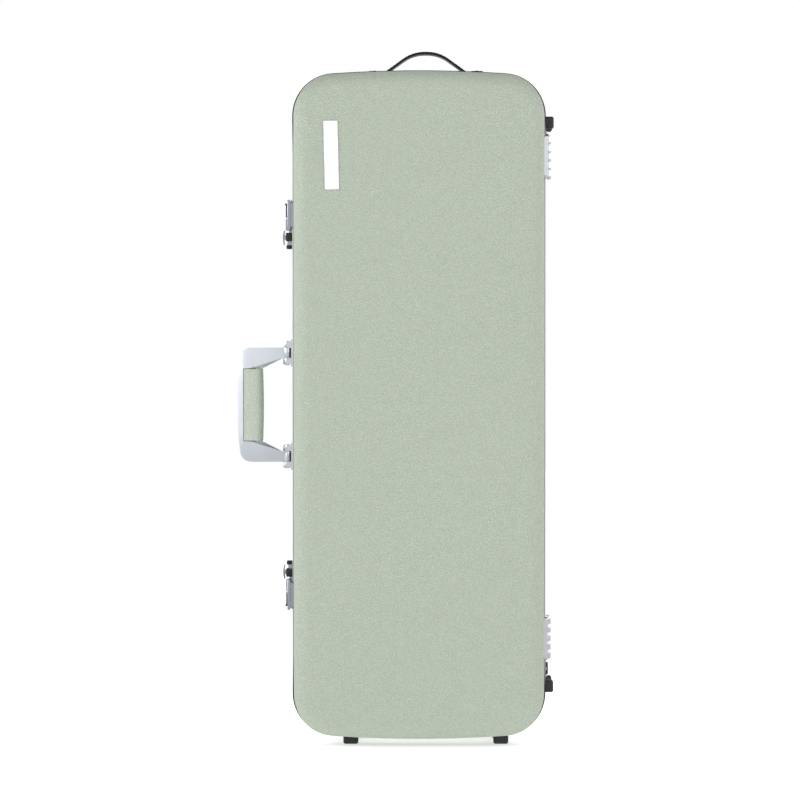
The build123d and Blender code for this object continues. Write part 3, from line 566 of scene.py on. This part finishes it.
# Sections along one arm and half of the spine, each as outer edge, front edge, inner edge and bevel depth.
def armSections(low, high, gripLow, gripHigh):
    armTop = (high.z - low.z) / 2
    gripEnd = (gripHigh.z - gripLow.z) / 2 + casting["gripGap"]
    knuckleLow = armTop - casting["knuckle"]
    hub = high.x - casting["barrel"]
    start = high.x - casting["armStart"]
    spineEdge = gripLow.x + casting["gripLap"]
    sections = [((hub, armTop), (hub, knuckleLow), (hub, knuckleLow), casting["noBevel"])]
    for step in range(7):
        share = step / 6
        outer = (between(start, gripHigh.x - casting["armEnd"], share), armTop)
        edgeZ = between(knuckleLow, gripEnd + casting["bevelRise"], share)
        edge = (between(start, gripHigh.x - casting["armEdge"], share), edgeZ)
        inner = (between(start, gripHigh.x, share), between(knuckleLow, gripEnd, share))
        sections.append((outer, edge, inner, casting["noBevel"] + share * casting["bevel"]))
    radius = casting["corner"]
    cornerX = low.x + casting["bow"] + radius
    for step in range(8):
        share = step / 7
        angle = share * math.pi / 2
        outer = (cornerX - radius * math.sin(angle), armTop - radius + radius * math.cos(angle))
        edgeX = between(gripHigh.x - casting["fold"], spineEdge, share)
        edge = (edgeX, gripEnd + between(*casting["foldRise"], share))
        inner = (edgeX + between(casting["cornerLap"], casting["spineLap"], share), gripEnd - casting["innerLap"])
        sections.append((outer, edge, inner, casting["bevel"]))
    for height in (0.036, 0.027, 0.018, 0.009, 0.0):
        outer = (low.x + casting["bow"] * (height / armTop) ** 2, height)
        inner = (gripLow.x + casting["spineLap"], height)
        sections.append((outer, (spineEdge, height), inner, casting["bevel"]))
    return sections


# One casting: crowned faces that fold at its corners, and inner bevels that fade out at the knuckles.
def buildCasting():
    low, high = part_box("handle_frame")
    gripLow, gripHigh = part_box("handle_grip")
    middleY = (low.y + high.y) / 2
    deep = (high.y - low.y) / 2
    hub = high.x - casting["barrel"]
    half = armSections(low, high, gripLow, gripHigh)
    flipped = [tuple((x, -z) for x, z in section[:3]) + (section[3],) for section in reversed(half[:-1])]
    mesh = bmesh.new()
    rings = []
    for outer, edge, inner, bevel in half + flipped:
        ring = []
        corners = [(outer, casting["crown"]), (edge, 0), (inner, bevel)]
        for side, row in ((-1, corners), (1, corners[::-1])):
            for (x, z), drop in row:
                thick = min(deep, between(casting["knuckleThick"], deep, (hub - x) / casting["taper"]))
                y = middleY + side * max(thick - drop, casting["leastThick"])
                ring.append(mesh.verts.new((x, y, bodyZ + z)))
        rings.append(ring)
    for one, two in zip(rings, rings[1:]):
        for index in range(6):
            after = (index + 1) % 6
            mesh.faces.new((one[index], one[after], two[after], two[index]))
    mesh.faces.new(rings[0][::-1])
    mesh.faces.new(rings[-1])
    bmesh.ops.recalc_face_normals(mesh, faces=mesh.faces)
    data = bpy.data.meshes.new("handleCasting")
    mesh.to_mesh(data)
    mesh.free()
    body = bpy.data.objects.new("handleCasting", data)
    bpy.context.collection.objects.link(body)
    roundAll(body, casting["rounding"], 5, 32)
    smooth(body, 20)
    parts = [body]
    for side in (-1, 1):
        height = bodyZ + side * ((high.z - low.z) / 2 - casting["knuckle"] / 2)
        barrel = addRod("knuckle", (hub, middleY, height), casting["barrel"], casting["knuckle"], "Z", 40)
        roundAll(barrel, casting["barrelRounding"], 2)
        parts.append(barrel)
    frame = joinPieces(parts, "handleCasting")
    dress(frame, castMetal, "handle")
    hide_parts("handle_frame")


buildCasting()
print("stage: handle casting")

# Grip
grip = {
    "fingers": 0.0078, "outside": 0.0018, "ends": 0.0016, "bulge": 0.0009, "slices": 16,
    "piping": 0.00032, "pipingSide": 0.0042, "pipingEnd": 0.0003, "pipingShift": 0.0038, "pipingLift": 0.0001,
    "stitch": 0.0026, "pitch": 0.0046, "thread": 0.00028, "sink": 0.00016, "margin": 0.006, "bare": 0.008,
}


# Leather wrapped round the bar: flat on its faces, rounded towards the fingers and slightly fuller midway.
def buildGrip():
    low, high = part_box("handle_grip")
    middle = (low + high) / 2
    size = high - low
    piece = addBlock("gripCover", middle, size)

    def alongSide(x):
        return lambda a, b: max(abs(a.x - x), abs(b.x - x)) < same and abs(a.z - b.z) > size.z / 2

    def atAnEnd(a, b):
        return abs(a.z - b.z) < same and min(abs(a.z - low.z), abs(a.z - high.z)) < same

    roundEdges(piece, grip["fingers"], 8, alongSide(high.x))
    roundEdges(piece, grip["outside"], 3, alongSide(low.x))
    roundEdges(piece, grip["ends"], 3, atAnEnd)
    pickPiece(piece)
    bpy.ops.object.mode_set(mode="EDIT")
    for step in range(1, grip["slices"]):
        height = between(low.z, high.z, step / grip["slices"])
        bpy.ops.mesh.select_all(action="SELECT")
        bpy.ops.mesh.bisect(plane_co=(0, 0, height), plane_no=(0, 0, 1))
    bpy.ops.object.mode_set(mode="OBJECT")

    def bulgeAt(height):
        return grip["bulge"] * math.sin(math.pi * (height - low.z) / size.z)

    for vertex in piece.data.vertices:
        vertex.co.x += bulgeAt(vertex.co.z) * (vertex.co.x - low.x) / size.x
    smooth(piece, 50)
    dress(piece, gripLeather, "handle")
    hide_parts("handle_grip")
    piping = []
    middleX = middle.x - grip["pipingShift"]
    across, up = size.x / 2 - grip["pipingSide"], size.z / 2 - grip["pipingEnd"]
    for y in (low.y + grip["pipingLift"], high.y - grip["pipingLift"]):
        corners = ((across, up), (-across, up), (-across, -up), (across, -up))
        path = [(middleX + x, y, middle.z + z) for x, z in corners]
        piping.append(addTube("gripPiping", path, grip["piping"], False, 2))
    dress(joinPieces(piping, "gripPiping"), seamDark, "handle")
    count = int((size.z - grip["bare"]) / grip["pitch"])
    heights = [low.z + grip["margin"] + index * grip["pitch"] for index in range(count)]
    places = [(high.x + bulgeAt(height) - grip["sink"], height) for height in heights]
    firstX, firstZ = places[0]
    stitch = addRod("gripStitch", (firstX, middle.y, firstZ), grip["thread"], grip["stitch"], "Z", 8)
    roundAll(stitch, 0.00018, 2)
    stitches = [stitch] + [copyPiece(stitch, "gripStitch", (x - firstX, 0, z - firstZ)) for x, z in places[1:]]
    dress(joinPieces(stitches, "gripStitches"), thread, "handle")


buildGrip()
print("stage: grip")

# Screws: the head, and how far the screws stand off the case and in from the edges of what they hold
screw = {
    "radius": 0.0021, "height": 0.0009, "sink": 0.0002, "slot": 0.00048, "across": 0.0024,
    "hingeStand": 0.0015, "hingeInset": 0.0055, "bracketStand": 0.0013, "bracketInset": 0.0042, "bracketEnd": 0.009,
    "strikeInset": 0.0026, "strikePitch": 0.010, "holderStand": 0.0016, "keeperPitch": 0.0065,
    "keeperSink": 0.0001, "rows": (0.16, 0.5, 0.84),
}


# A low round head with a cross recess, facing +Z at the origin.
def buildScrew(name):
    height = screw["height"]
    centre = (0, 0, height / 2 - screw["sink"])
    head = addRod(name, centre, screw["radius"], height + 2 * screw["sink"], "Z", 20)
    roundEdges(head, height * 0.7, 3, lambda a, b: min(a.z, b.z) > height / 2 and (a - b).length < 0.001)
    cutters = []
    for turn in (0, math.pi / 2):
        cutter = addBlock("cutter", (0, 0, height), (screw["across"], screw["slot"], height))
        cutter.data.transform(Matrix.Rotation(turn, 4, "Z"))
        cutters.append(cutter)
    cross = joinPieces(cutters, "cutter")
    pickPiece(head)
    applyModifier(head, "BOOLEAN", operation="DIFFERENCE", use_self=True, object=cross)
    bpy.data.objects.remove(cross, do_unlink=True)
    smooth(head, 35)
    return head


screwModel = buildScrew("screwModel")
facing = {
    "-X": Matrix.Rotation(-math.pi / 2, 4, "Y"),
    "+X": Matrix.Rotation(math.pi / 2, 4, "Y"),
    "+Z": Matrix.Identity(4),
}


# Copies of the screw at the given places, each turned a little differently.
def placeScrews(name, spots, direction, material, body, scale=1.0):
    made = []
    for index, spot in enumerate(spots):
        piece = copyPiece(screwModel, f"{name}{index}")
        turn = Matrix.Rotation(0.7 * index + 0.3, 4, "Z")
        piece.data.transform(Matrix.Translation(spot) @ facing[direction] @ turn @ Matrix.Scale(scale, 4))
        made.append(piece)
    return dress(joinPieces(made, name), material, body)


def screwEverything():
    for place in ("upper", "lower"):
        face = hingeSide + screw["hingeStand"]
        low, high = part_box(f"hinge_back_leaf_{place}")
        rows = [between(low.z, high.z, share) for share in screw["rows"]]
        spots = [(face, high.y - screw["hingeInset"], z) for z in rows]
        placeScrews(f"hingeBackScrews_{place}", spots, "+X", chrome, "case_back", 0.9)
        low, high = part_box(f"hinge_lid_leaf_{place}")
        spots = [(face, low.y + screw["hingeInset"], z) for z in rows]
        placeScrews(f"hingeLidScrews_{place}", spots, "+X", chrome, "lid", 0.9)
        face = latchSide - screw["bracketStand"]
        low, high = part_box(f"handle_bracket_{place}")
        rows = (low.z + screw["bracketEnd"], high.z - screw["bracketEnd"])
        spots = [(face, y, z) for y in (high.y - screw["bracketInset"], low.y + screw["bracketInset"]) for z in rows]
        placeScrews(f"bracketScrews_{place}", spots, "-X", bracketMetal, "case_back", 0.9)
        low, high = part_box(f"strike_{place}")
        hook = (low.z + high.z) / 2
        spots = [(face, low.y + screw["strikeInset"], hook + side * screw["strikePitch"]) for side in (-1, 1)]
        placeScrews(f"strikeScrews_{place}", spots, "-X", latchMetal, "lid", 0.75)
        low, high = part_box(f"ring_holder_{place}")
        spots = [(hingeSide + screw["holderStand"], low.y + screw["hingeInset"], (low.z + high.z) / 2)]
        placeScrews(f"holderScrew_{place}", spots, "+X", steel, "case_back")
    for place in ("left", "right"):
        low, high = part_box(f"strap_keeper_{place}")
        middle = (low + high) / 2
        spots = [(middle.x, middle.y + side * screw["keeperPitch"], high.z - screw["keeperSink"]) for side in (-1, 1)]
        placeScrews(f"keeperScrews_{place}", spots, "+Z", blackMetal, "case_back")


screwEverything()
bpy.data.objects.remove(screwModel, do_unlink=True)
print("stage: screws")

# Dark blocks on the case behind the handle's knuckles: painted shade, standing in for the shadow in the gap between
# knuckle and case
knuckleShade = {"depth": 0.0115, "height": 0.0124, "stand": 0.0019, "sink": 0.0012, "rounding": 0.0003}


def buildKnuckleShades():
    for place in ("upper", "lower"):
        low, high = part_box(f"handle_bracket_{place}")
        centre = (latchSide - knuckleShade["stand"] / 2 + knuckleShade["sink"], (low.y + high.y) / 2, (low.z + high.z) / 2)
        size = (knuckleShade["stand"] + 2 * knuckleShade["sink"], knuckleShade["depth"], knuckleShade["height"])
        # Each block is painted shade: black rubber where the gap behind the knuckle lies in shadow.
        piece = addBlock(f"knuckleShadeBlock_{place}", centre, size)
        roundAll(piece, knuckleShade["rounding"], 2)
        dress(piece, rubber, "case_back")


buildKnuckleShades()
print("stage: pads")

# Latch trim
latch = {
    "gapShadeWidth": 0.010, "gapShadeHeight": 0.0162, "gapShadeThick": 0.0016, "gapShadeTop": 0.0045, "gapShadeIn": 0.0009,
    "gapShadeBack": 0.002, "gapDot": 0.0012, "gapDotIn": 0.0003, "gapDotDown": 0.0008, "gapDotMore": 0.001,
    "bumper": 0.0046, "bumperDepth": 0.0066, "bumperIn": 0.0036, "bumperUp": 0.0015, "wrap": 0.0125, "lap": 0.0008,
    "guard": 0.0098, "guardThick": 0.0013, "guardAhead": 0.0031, "guardUp": 0.0004, "guardLap": 0.0006,
    "guardOut": 0.0001,
}


# Each black piece of the upper latch is made once, and mirrored for the lower one.
def trimPair(piece, name, body):
    piece.name = name.format("upper")
    lower = copyPiece(piece, name.format("lower"), mirrorZ=True)
    dress(piece, blackPlastic, body.format("upper"))
    dress(lower, blackPlastic, body.format("lower"))


# The black strip and dot on each hasp, painted shade standing in for the dark gap between hasp and cover; the black
# bumper round the latch's end and the block's guard.
def buildLatchTrim():
    low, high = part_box("hasp_upper")
    face = low.x + latch["gapShadeIn"]
    top = high.z - latch["gapShadeTop"]
    middleY = seamY - latch["gapShadeBack"]
    # Painted shade: a black strip and dot where the gap between hasp and cover lies in shadow.
    size = (latch["gapShadeThick"], latch["gapShadeWidth"], latch["gapShadeHeight"])
    strip = addBlock("strip", (face, middleY, top - latch["gapShadeHeight"] / 2), size)
    roundAll(strip, 0.0005, 2)
    centre = (low.x + latch["gapDotIn"], middleY, top - latch["gapDotDown"])
    gapDot = addRod("gapDot", centre, latch["gapDot"], latch["gapShadeWidth"] + latch["gapDotMore"], "Y", 16)
    roundAll(gapDot, 0.0004, 2)
    trimPair(joinPieces([strip, gapDot], "gapShade"), "hasp_{}_lever", "hasp_{}")
    low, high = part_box("latch_plate_upper")
    centre = (latchSide - latch["bumperIn"], low.y + latch["wrap"] / 2 - latch["lap"], low.z + latch["bumperUp"])
    bumper = addBlock("bumper", centre, (latch["bumperDepth"], latch["wrap"], latch["bumper"]))
    roundAll(bumper, 0.0014, 4)
    low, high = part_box("thumb_slide_upper")
    inner = (low.x + latchSide) / 2 - latch["guardOut"]
    centre = (inner, low.y - latch["guardAhead"], (low.z + high.z) / 2 + latch["guardUp"])
    size = (latchSide - low.x + latch["guardLap"], latch["guardThick"], latch["guard"])
    guard = addBlock("guard", centre, size)
    roundAll(guard, 0.0004, 2)
    trimPair(guard, "latch_{}_guard", "case_back")
    trimPair(bumper, "latch_{}_bumper", "case_back")


buildLatchTrim()
print("stage: latch trim")

# Thumb springs
coil = {"turns": 7, "wire": 0.00025, "radius": 0.00125}


def buildCoil(place):
    node = f"thumb_spring_{place}"
    low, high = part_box(node)
    centre = (low + high) / 2
    start = (coil["radius"], 0, 0)
    bpy.ops.mesh.primitive_circle_add(vertices=8, radius=coil["wire"], location=start, rotation=(math.pi / 2, 0, 0))
    piece = bpy.context.object
    piece.name = f"thumbCoil_{place}"
    placeAtOrigin(piece)
    rise = (high.z - low.z - 2 * coil["wire"]) / coil["turns"]
    applyModifier(piece, "SCREW", screw_offset=rise, iterations=coil["turns"], steps=20, render_steps=20)
    closeMesh(piece, merge=False)
    piece.data.transform(Matrix.Translation((centre.x, centre.y, low.z + coil["wire"])))
    smooth(piece, 60)
    dress(piece, steel, "case_back")
    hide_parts(node)
    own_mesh(piece)


for place in ("upper", "lower"):
    buildCoil(place)
print("stage: springs")

# Strips bent along a path
# A flat strip along a path in the X and Z plane, with rounded long edges.
def addStrip(name, points, halfWidth, halfThickness, radii, rounding=3):
    settings = {
        "dimensions": "2D", "fill_mode": "NONE", "extrude": halfWidth - halfThickness,
        "bevel_depth": halfThickness, "bevel_resolution": rounding,
    }
    piece = meshFromCurve(name, [(x, z, 0) for x, z in roundPath(points, radii)], False, settings)
    closeMesh(piece)
    piece.data.transform(Matrix.Rotation(math.pi / 2, 4, "X"))
    smooth(piece, 50)
    return piece


# The corner points of a path with arcs of the given radii at its inner corners.
def roundPath(points, radii, steps=10):
    path = [points[0]]
    for index in range(1, len(points) - 1):
        before, corner, after = (Vector(points[index + shift]) for shift in (-1, 0, 1))
        inward = (before - corner).normalized()
        outward = (after - corner).normalized()
        half = inward.angle(outward) / 2
        radius = radii[index - 1]
        reach = radius / math.tan(half)
        centre = corner + (inward + outward).normalized() * (radius / math.sin(half))
        first = corner + inward * reach - centre
        turn = first.angle_signed(corner + outward * reach - centre)
        for step in range(steps + 1):
            part = Matrix.Rotation(-turn * step / steps, 2)
            path.append(tuple(centre + part @ first))
    path.append(points[-1])
    return path


# Strap handle; each layer is given by half its thickness and how far it lies above the middle line
strap = {
    "crown": 0.015, "span": 0.049, "rise": 0.0244, "foot": 0.009, "bend": 0.042, "end": 0.0003, "top": 0.0265,
    "width": 0.0195, "upper": 0.0009, "upperLift": 0.0006, "lower": 0.0006, "lowerLift": -0.0008, "setback": 0.0004,
    "pitch": 0.0042, "stitch": 0.0026, "thread": 0.00028, "seam": 0.0076, "proud": 0.00142, "bare": 0.02,
}


# Two layers of strap leather, the lower one grey, stitched along both edges.
def buildStrap():
    low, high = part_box("strap_handle")
    middle = (low + high) / 2
    line = high.z - strap["top"]
    end = (high.x - low.x) / 2 - strap["end"]
    half = [(strap["crown"], strap["rise"]), (strap["span"], 0), (end, 0)]
    corners = [(-x, z) for x, z in reversed(half)] + half
    corners = [(middle.x + x, line + z) for x, z in corners]
    radii = [strap["foot"], strap["bend"], strap["bend"], strap["foot"]]
    upper = addStrip("strapUpper", corners, strap["width"] / 2, strap["upper"], radii)
    upper.data.transform(Matrix.Translation((0, middle.y, strap["upperLift"])))
    lower = addStrip("strapLining", corners, strap["width"] / 2 - strap["setback"], strap["lower"], radii)
    lower.data.transform(Matrix.Translation((0, middle.y, strap["lowerLift"])))
    dress(upper, strapLeather, "case_back")
    dress(lower, blackPlastic, "case_back")
    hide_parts("strap_handle")
    path = roundPath(corners, radii, 16)
    lengths = [0]
    for a, b in zip(path, path[1:]):
        lengths.append(lengths[-1] + math.dist(a, b))
    model = addRod("strapStitch", (0, 0, 0), strap["thread"], strap["stitch"], "X", 8)
    roundAll(model, 0.0002, 2)
    stitches = []
    for index in range(int((lengths[-1] - 2 * strap["bare"]) / strap["pitch"])):
        along = strap["bare"] + index * strap["pitch"]
        segment = max(i for i, value in enumerate(lengths[:-1]) if value <= along)
        a, b = Vector(path[segment]), Vector(path[segment + 1])
        spot = a.lerp(b, (along - lengths[segment]) / max(lengths[segment + 1] - lengths[segment], 1e-9))
        slope = math.atan2(b.y - a.y, b.x - a.x)
        spot += Vector((-math.sin(slope), math.cos(slope))) * strap["proud"]
        for side in (-1, 1):
            stitch = copyPiece(model, "strapStitch")
            place = Matrix.Translation((spot.x, middle.y + side * strap["seam"], spot.y))
            stitch.data.transform(place @ Matrix.Rotation(-slope, 4, "Y"))
            stitches.append(stitch)
    bpy.data.objects.remove(model, do_unlink=True)
    dress(joinPieces(stitches, "strapStitches"), thread, "case_back")


buildStrap()
print("stage: strap")


# Plush interior
cloth = {"weld": 0.00002, "softening": 0.5, "lump": 0.035, "lumpLevel": 0.62}


# A soft form in the place of a packed foam piece: its edges are relaxed and its faces gently uneven.
def softCopy(node, name, cell, relax, puff):
    piece = copyPiece(nodes[node], name)
    piece.modifiers.clear()
    piece.matrix_world = Matrix.Identity(4)
    pickPiece(piece)
    bpy.ops.object.mode_set(mode="EDIT")
    bpy.ops.mesh.select_all(action="SELECT")
    bpy.ops.mesh.remove_doubles(threshold=cloth["weld"])
    bpy.ops.object.mode_set(mode="OBJECT")
    applyModifier(piece, "REMESH", mode="VOXEL", voxel_size=cell)
    applyModifier(piece, "SMOOTH", iterations=relax, factor=cloth["softening"])
    if puff:
        makeUneven(piece, cloth["lump"], puff, cloth["lumpLevel"])
    bpy.ops.object.shade_smooth()
    return piece


# Moves the points of the picked piece in and out along a cloud pattern.
def makeUneven(piece, size, depth, level):
    texture = bpy.data.textures.new(piece.name, "CLOUDS")
    texture.noise_scale = size
    applyModifier(piece, "DISPLACE", texture=texture, texture_coords="LOCAL", strength=depth, mid_level=level)


# What each soft piece is called, its cell, relaxing steps, body, slot and unevenness
soft = {
    "cradle": ("plushCradle", 0.0034, 3, "case_back", "cradle_plush", 0.0016),
    "tray": ("plushTray", 0.0030, 3, "case_back", "cradle_plush", 0.0014),
    "neck_rest": ("plushNeckRest", 0.0018, 4, "case_back", "cradle_plush", 0.001),
    "bow_rest_left": ("plushBowRest_left", 0.0011, 3, "lid", "lining_plush", 0.0),
    "bow_rest_right": ("plushBowRest_right", 0.0011, 3, "lid", "lining_plush", 0.0),
    "tip_pocket_left": ("tipPocket_left", 0.0009, 3, "lid", "lining_plush", 0.0),
    "tip_pocket_right": ("tipPocket_right", 0.0009, 3, "lid", "lining_plush", 0.0),
}
for node, (name, cell, relax, body, slotName, puff) in soft.items():
    piece = softCopy(node, name, cell, relax, puff)
    dress(piece, plush, body)
    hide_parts(node)

lining = {"step": 0.011, "wave": 0.0009, "waveSize": 0.05, "level": 0.7}


# The lid's lining: a plush skin over thin foam, cut into a fine grid and made slightly wavy.
def buildLining():
    piece = copyPiece(nodes["lid_lining"], "plushLining")
    piece.modifiers.clear()
    pickPiece(piece)
    mesh = bmesh.new()
    mesh.from_mesh(piece.data)
    bmesh.ops.remove_doubles(mesh, verts=mesh.verts, dist=cloth["weld"])
    low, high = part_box("lid_lining")
    for axis, direction in ((0, Vector((1, 0, 0))), (2, Vector((0, 0, 1)))):
        for step in range(1, int((high[axis] - low[axis]) / lining["step"])):
            place = Vector(low) + direction * lining["step"] * step
            everything = mesh.verts[:] + mesh.edges[:] + mesh.faces[:]
            bmesh.ops.bisect_plane(mesh, geom=everything, plane_co=place, plane_no=direction)
    mesh.to_mesh(piece.data)
    mesh.free()
    makeUneven(piece, lining["waveSize"], lining["wave"], lining["level"])
    smooth(piece, 50)
    dress(piece, plush, "lid")
    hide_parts("lid_lining")


buildLining()

hem = {"wire": 0.0011, "corner": 0.004, "inset": 0.0009}


# A bound edge round the mouth of each tip pocket.
def buildHems():
    for sideName in ("left", "right"):
        low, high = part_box(f"tip_pocket_{sideName}")
        gap = 2 * hem["inset"]
        loop = roundLoop(high.x - low.x - gap, high.y - low.y - gap, (hem["corner"],) * 4)
        path = [((low.x + high.x) / 2 + x, (low.y + high.y) / 2 + y, low.z + hem["wire"]) for x, y in loop]
        binding = addTube(f"pocketHem_{sideName}", path, hem["wire"], True, 3)
        dress(binding, ribbon, "lid")


buildHems()
print("stage: plush")

# Ribbon over the viola's neck, held by two studs
band = {
    "tab": 0.020, "thick": 0.0006, "corner": 0.006, "drop": 0.0008, "stud": 0.0032, "studHeight": 0.0014,
    "studEdge": 0.0005, "studFromEnd": 0.008,
}


def buildNeckStrap():
    low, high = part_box("neck_strap")
    middle = (low + high) / 2
    top = high.y - band["drop"]
    reach = (high.x - low.x) / 2
    foot = reach - band["tab"]
    rise = high.y - low.y - 2 * band["drop"]
    corners = [(-reach, 0), (-foot, 0), (-foot / 2, rise), (foot / 2, rise), (foot, 0), (reach, 0)]
    radii = [band["corner"]] * 4
    piece = addStrip("neckStrapRibbon", corners, (high.z - low.z) / 2, band["thick"] / 2, radii, 1)
    piece.data.transform(Matrix.Translation((middle.x, top, middle.z)) @ Matrix.Rotation(math.pi / 2, 4, "X"))
    dress(piece, ribbon, "case_back")
    path = roundPath(corners, radii)
    studs = []
    for side in (-1, 1):
        place = (middle.x + side * (reach - band["studFromEnd"]), top - band["studHeight"] / 2, middle.z)
        stud = addRod("neckStud", place, band["stud"], band["studHeight"], "Y", 28)
        roundAll(stud, band["studEdge"])
        studs.append(stud)
    snaps = dress(joinPieces(studs, "neckStrapStuds"), blackMetal, "case_back")
    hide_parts("neck_strap")


buildNeckStrap()
print("stage: neck strap")

# Strap rings of round wire
ring = {"wire": 0.0011, "barCorner": 0.0022, "bowCorner": 0.007}


def buildRings():
    for place in ("upper", "lower"):
        low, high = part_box(f"strap_ring_{place}")
        wire = ring["wire"]
        radii = (ring["bowCorner"], ring["barCorner"], ring["barCorner"], ring["bowCorner"])
        loop = roundLoop(high.y - low.y - 2 * wire, high.z - low.z - 2 * wire, radii, 8)
        middle = (low + high) / 2
        path = [(middle.x, middle.y + y, middle.z + z) for y, z in loop]
        piece = addTube(f"strapRingWire_{place}", path, wire, True, 6)
        dress(piece, chrome, f"ring_{place}")
        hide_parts(f"strap_ring_{place}")


buildRings()
print("stage: rings")

# Stage, light and camera
view = {"distance": 3.4, "above": 1.1, "scale": 856.0, "right": 19.0, "down": 5.0, "sensor": 36, "pixels": 800}
# The flags and the front give a brightness at both ends of a slope, and where these ends lie
light = {
    "ambient": 0.7, "flags": (1.0, 0.07, 0.55, 0.85), "front": (0.86, 1.15, -1.0, -0.35),
    "floorGlow": 0.56, "floorMirrored": 0.66, "aim": (0, 0, 0.42),
}
lamps = {
    "keyLight": {"place": (-2.2, -1.9, 1.7), "size": 0.9, "power": 22},
    "fillLight": {"place": (1.9, -2.0, 1.0), "size": 1.4, "power": 9},
    "sideLight": {"place": (-2.4, 0.1, 0.5), "size": 0.8, "power": 10},
    "topLight": {"place": (1.9, -0.5, 2.1), "size": 0.9, "power": 7},
}


def buildStage():
    bpy.ops.mesh.primitive_plane_add(size=12, location=(0, 2, 0))
    floor = bpy.context.object
    floor.name = "floor"
    material, tree, links, shader, place = newMaterial("floorWhite")
    shade = addRamp(tree, links, addNoise(tree, links, place, 3), 0.995, 1.0)
    links.new(tint(tree, links, (255, 255, 255), shade), shader.inputs["Base Color"])
    setInputs(shader, {"Roughness": 0.9, "Emission Color": (1, 1, 1, 1), "Emission Strength": light["floorGlow"]})
    rays = addNode(tree, "ShaderNodeLightPath")
    mirrored = addNode(tree, "ShaderNodeEmission", {"Color": (1, 1, 1, 1), "Strength": light["floorMirrored"]})
    either = addNode(tree, "ShaderNodeMixShader")
    links.new(rays.outputs["Is Glossy Ray"], either.inputs[0])
    links.new(shader.outputs[0], either.inputs[1])
    links.new(mirrored.outputs[0], either.inputs[2])
    links.new(either.outputs[0], tree["Material Output"].inputs["Surface"])
    floor.data.materials.append(material)
    world = bpy.data.worlds.new("studio")
    bpy.context.scene.world = world
    world.use_nodes = True
    tree, links = world.node_tree.nodes, world.node_tree.links
    sky = tree["Background"]
    sky.inputs["Color"].default_value = (1, 1, 1, 1)
    rays = addNode(tree, "ShaderNodeLightPath")
    direction = addNode(tree, "ShaderNodeSeparateXYZ")
    links.new(addNode(tree, "ShaderNodeTexCoord").outputs["Generated"], direction.inputs[0])
    upright = calculate(tree, links, "ABSOLUTE", direction.outputs["Z"])
    flags = addRamp(tree, links, upright, *light["flags"])
    front = addRamp(tree, links, direction.outputs["Y"], *light["front"])
    flags = multiply(tree, links, flags, front)
    shiny = addNode(tree, "ShaderNodeMix", {"A": light["ambient"]})
    links.new(rays.outputs["Is Glossy Ray"], shiny.inputs["Factor"])
    links.new(flags, shiny.inputs["B"])
    seen = calculate(tree, links, "MAXIMUM", rays.outputs["Is Camera Ray"], rays.outputs["Is Transmission Ray"])
    total = addNode(tree, "ShaderNodeMix", {"B": 1.0})
    links.new(seen, total.inputs["Factor"])
    links.new(shiny.outputs["Result"], total.inputs["A"])
    links.new(total.outputs["Result"], sky.inputs["Strength"])


def addLamp(name, place, size, power):
    bpy.ops.object.light_add(type="AREA", location=place)
    lamp = bpy.context.object
    lamp.name = name
    lamp.data.size = size
    lamp.data.energy = power
    aim = Vector(light["aim"]) - Vector(place)
    lamp.rotation_euler = aim.to_track_quat("-Z", "Y").to_euler()


# A little above the middle of the case and looking at it.
def placeCamera():
    above = math.radians(view["above"])
    place = (bodyX, seamY - view["distance"], bodyZ + view["distance"] * math.tan(above))
    bpy.ops.object.camera_add(location=place, rotation=(math.pi / 2 - above, 0, 0))
    camera = bpy.context.object
    camera.data.sensor_width = view["sensor"]
    camera.data.lens = view["scale"] * view["distance"] / math.cos(above) * view["sensor"] / view["pixels"]
    camera.data.shift_x = -view["right"] / view["pixels"]
    camera.data.shift_y = view["down"] / view["pixels"]
    bpy.context.scene.camera = camera


buildStage()
for name, lamp in lamps.items():
    addLamp(name, **lamp)
placeCamera()
bpy.context.scene.view_settings.view_transform = "Standard"
print("stage: light and camera")
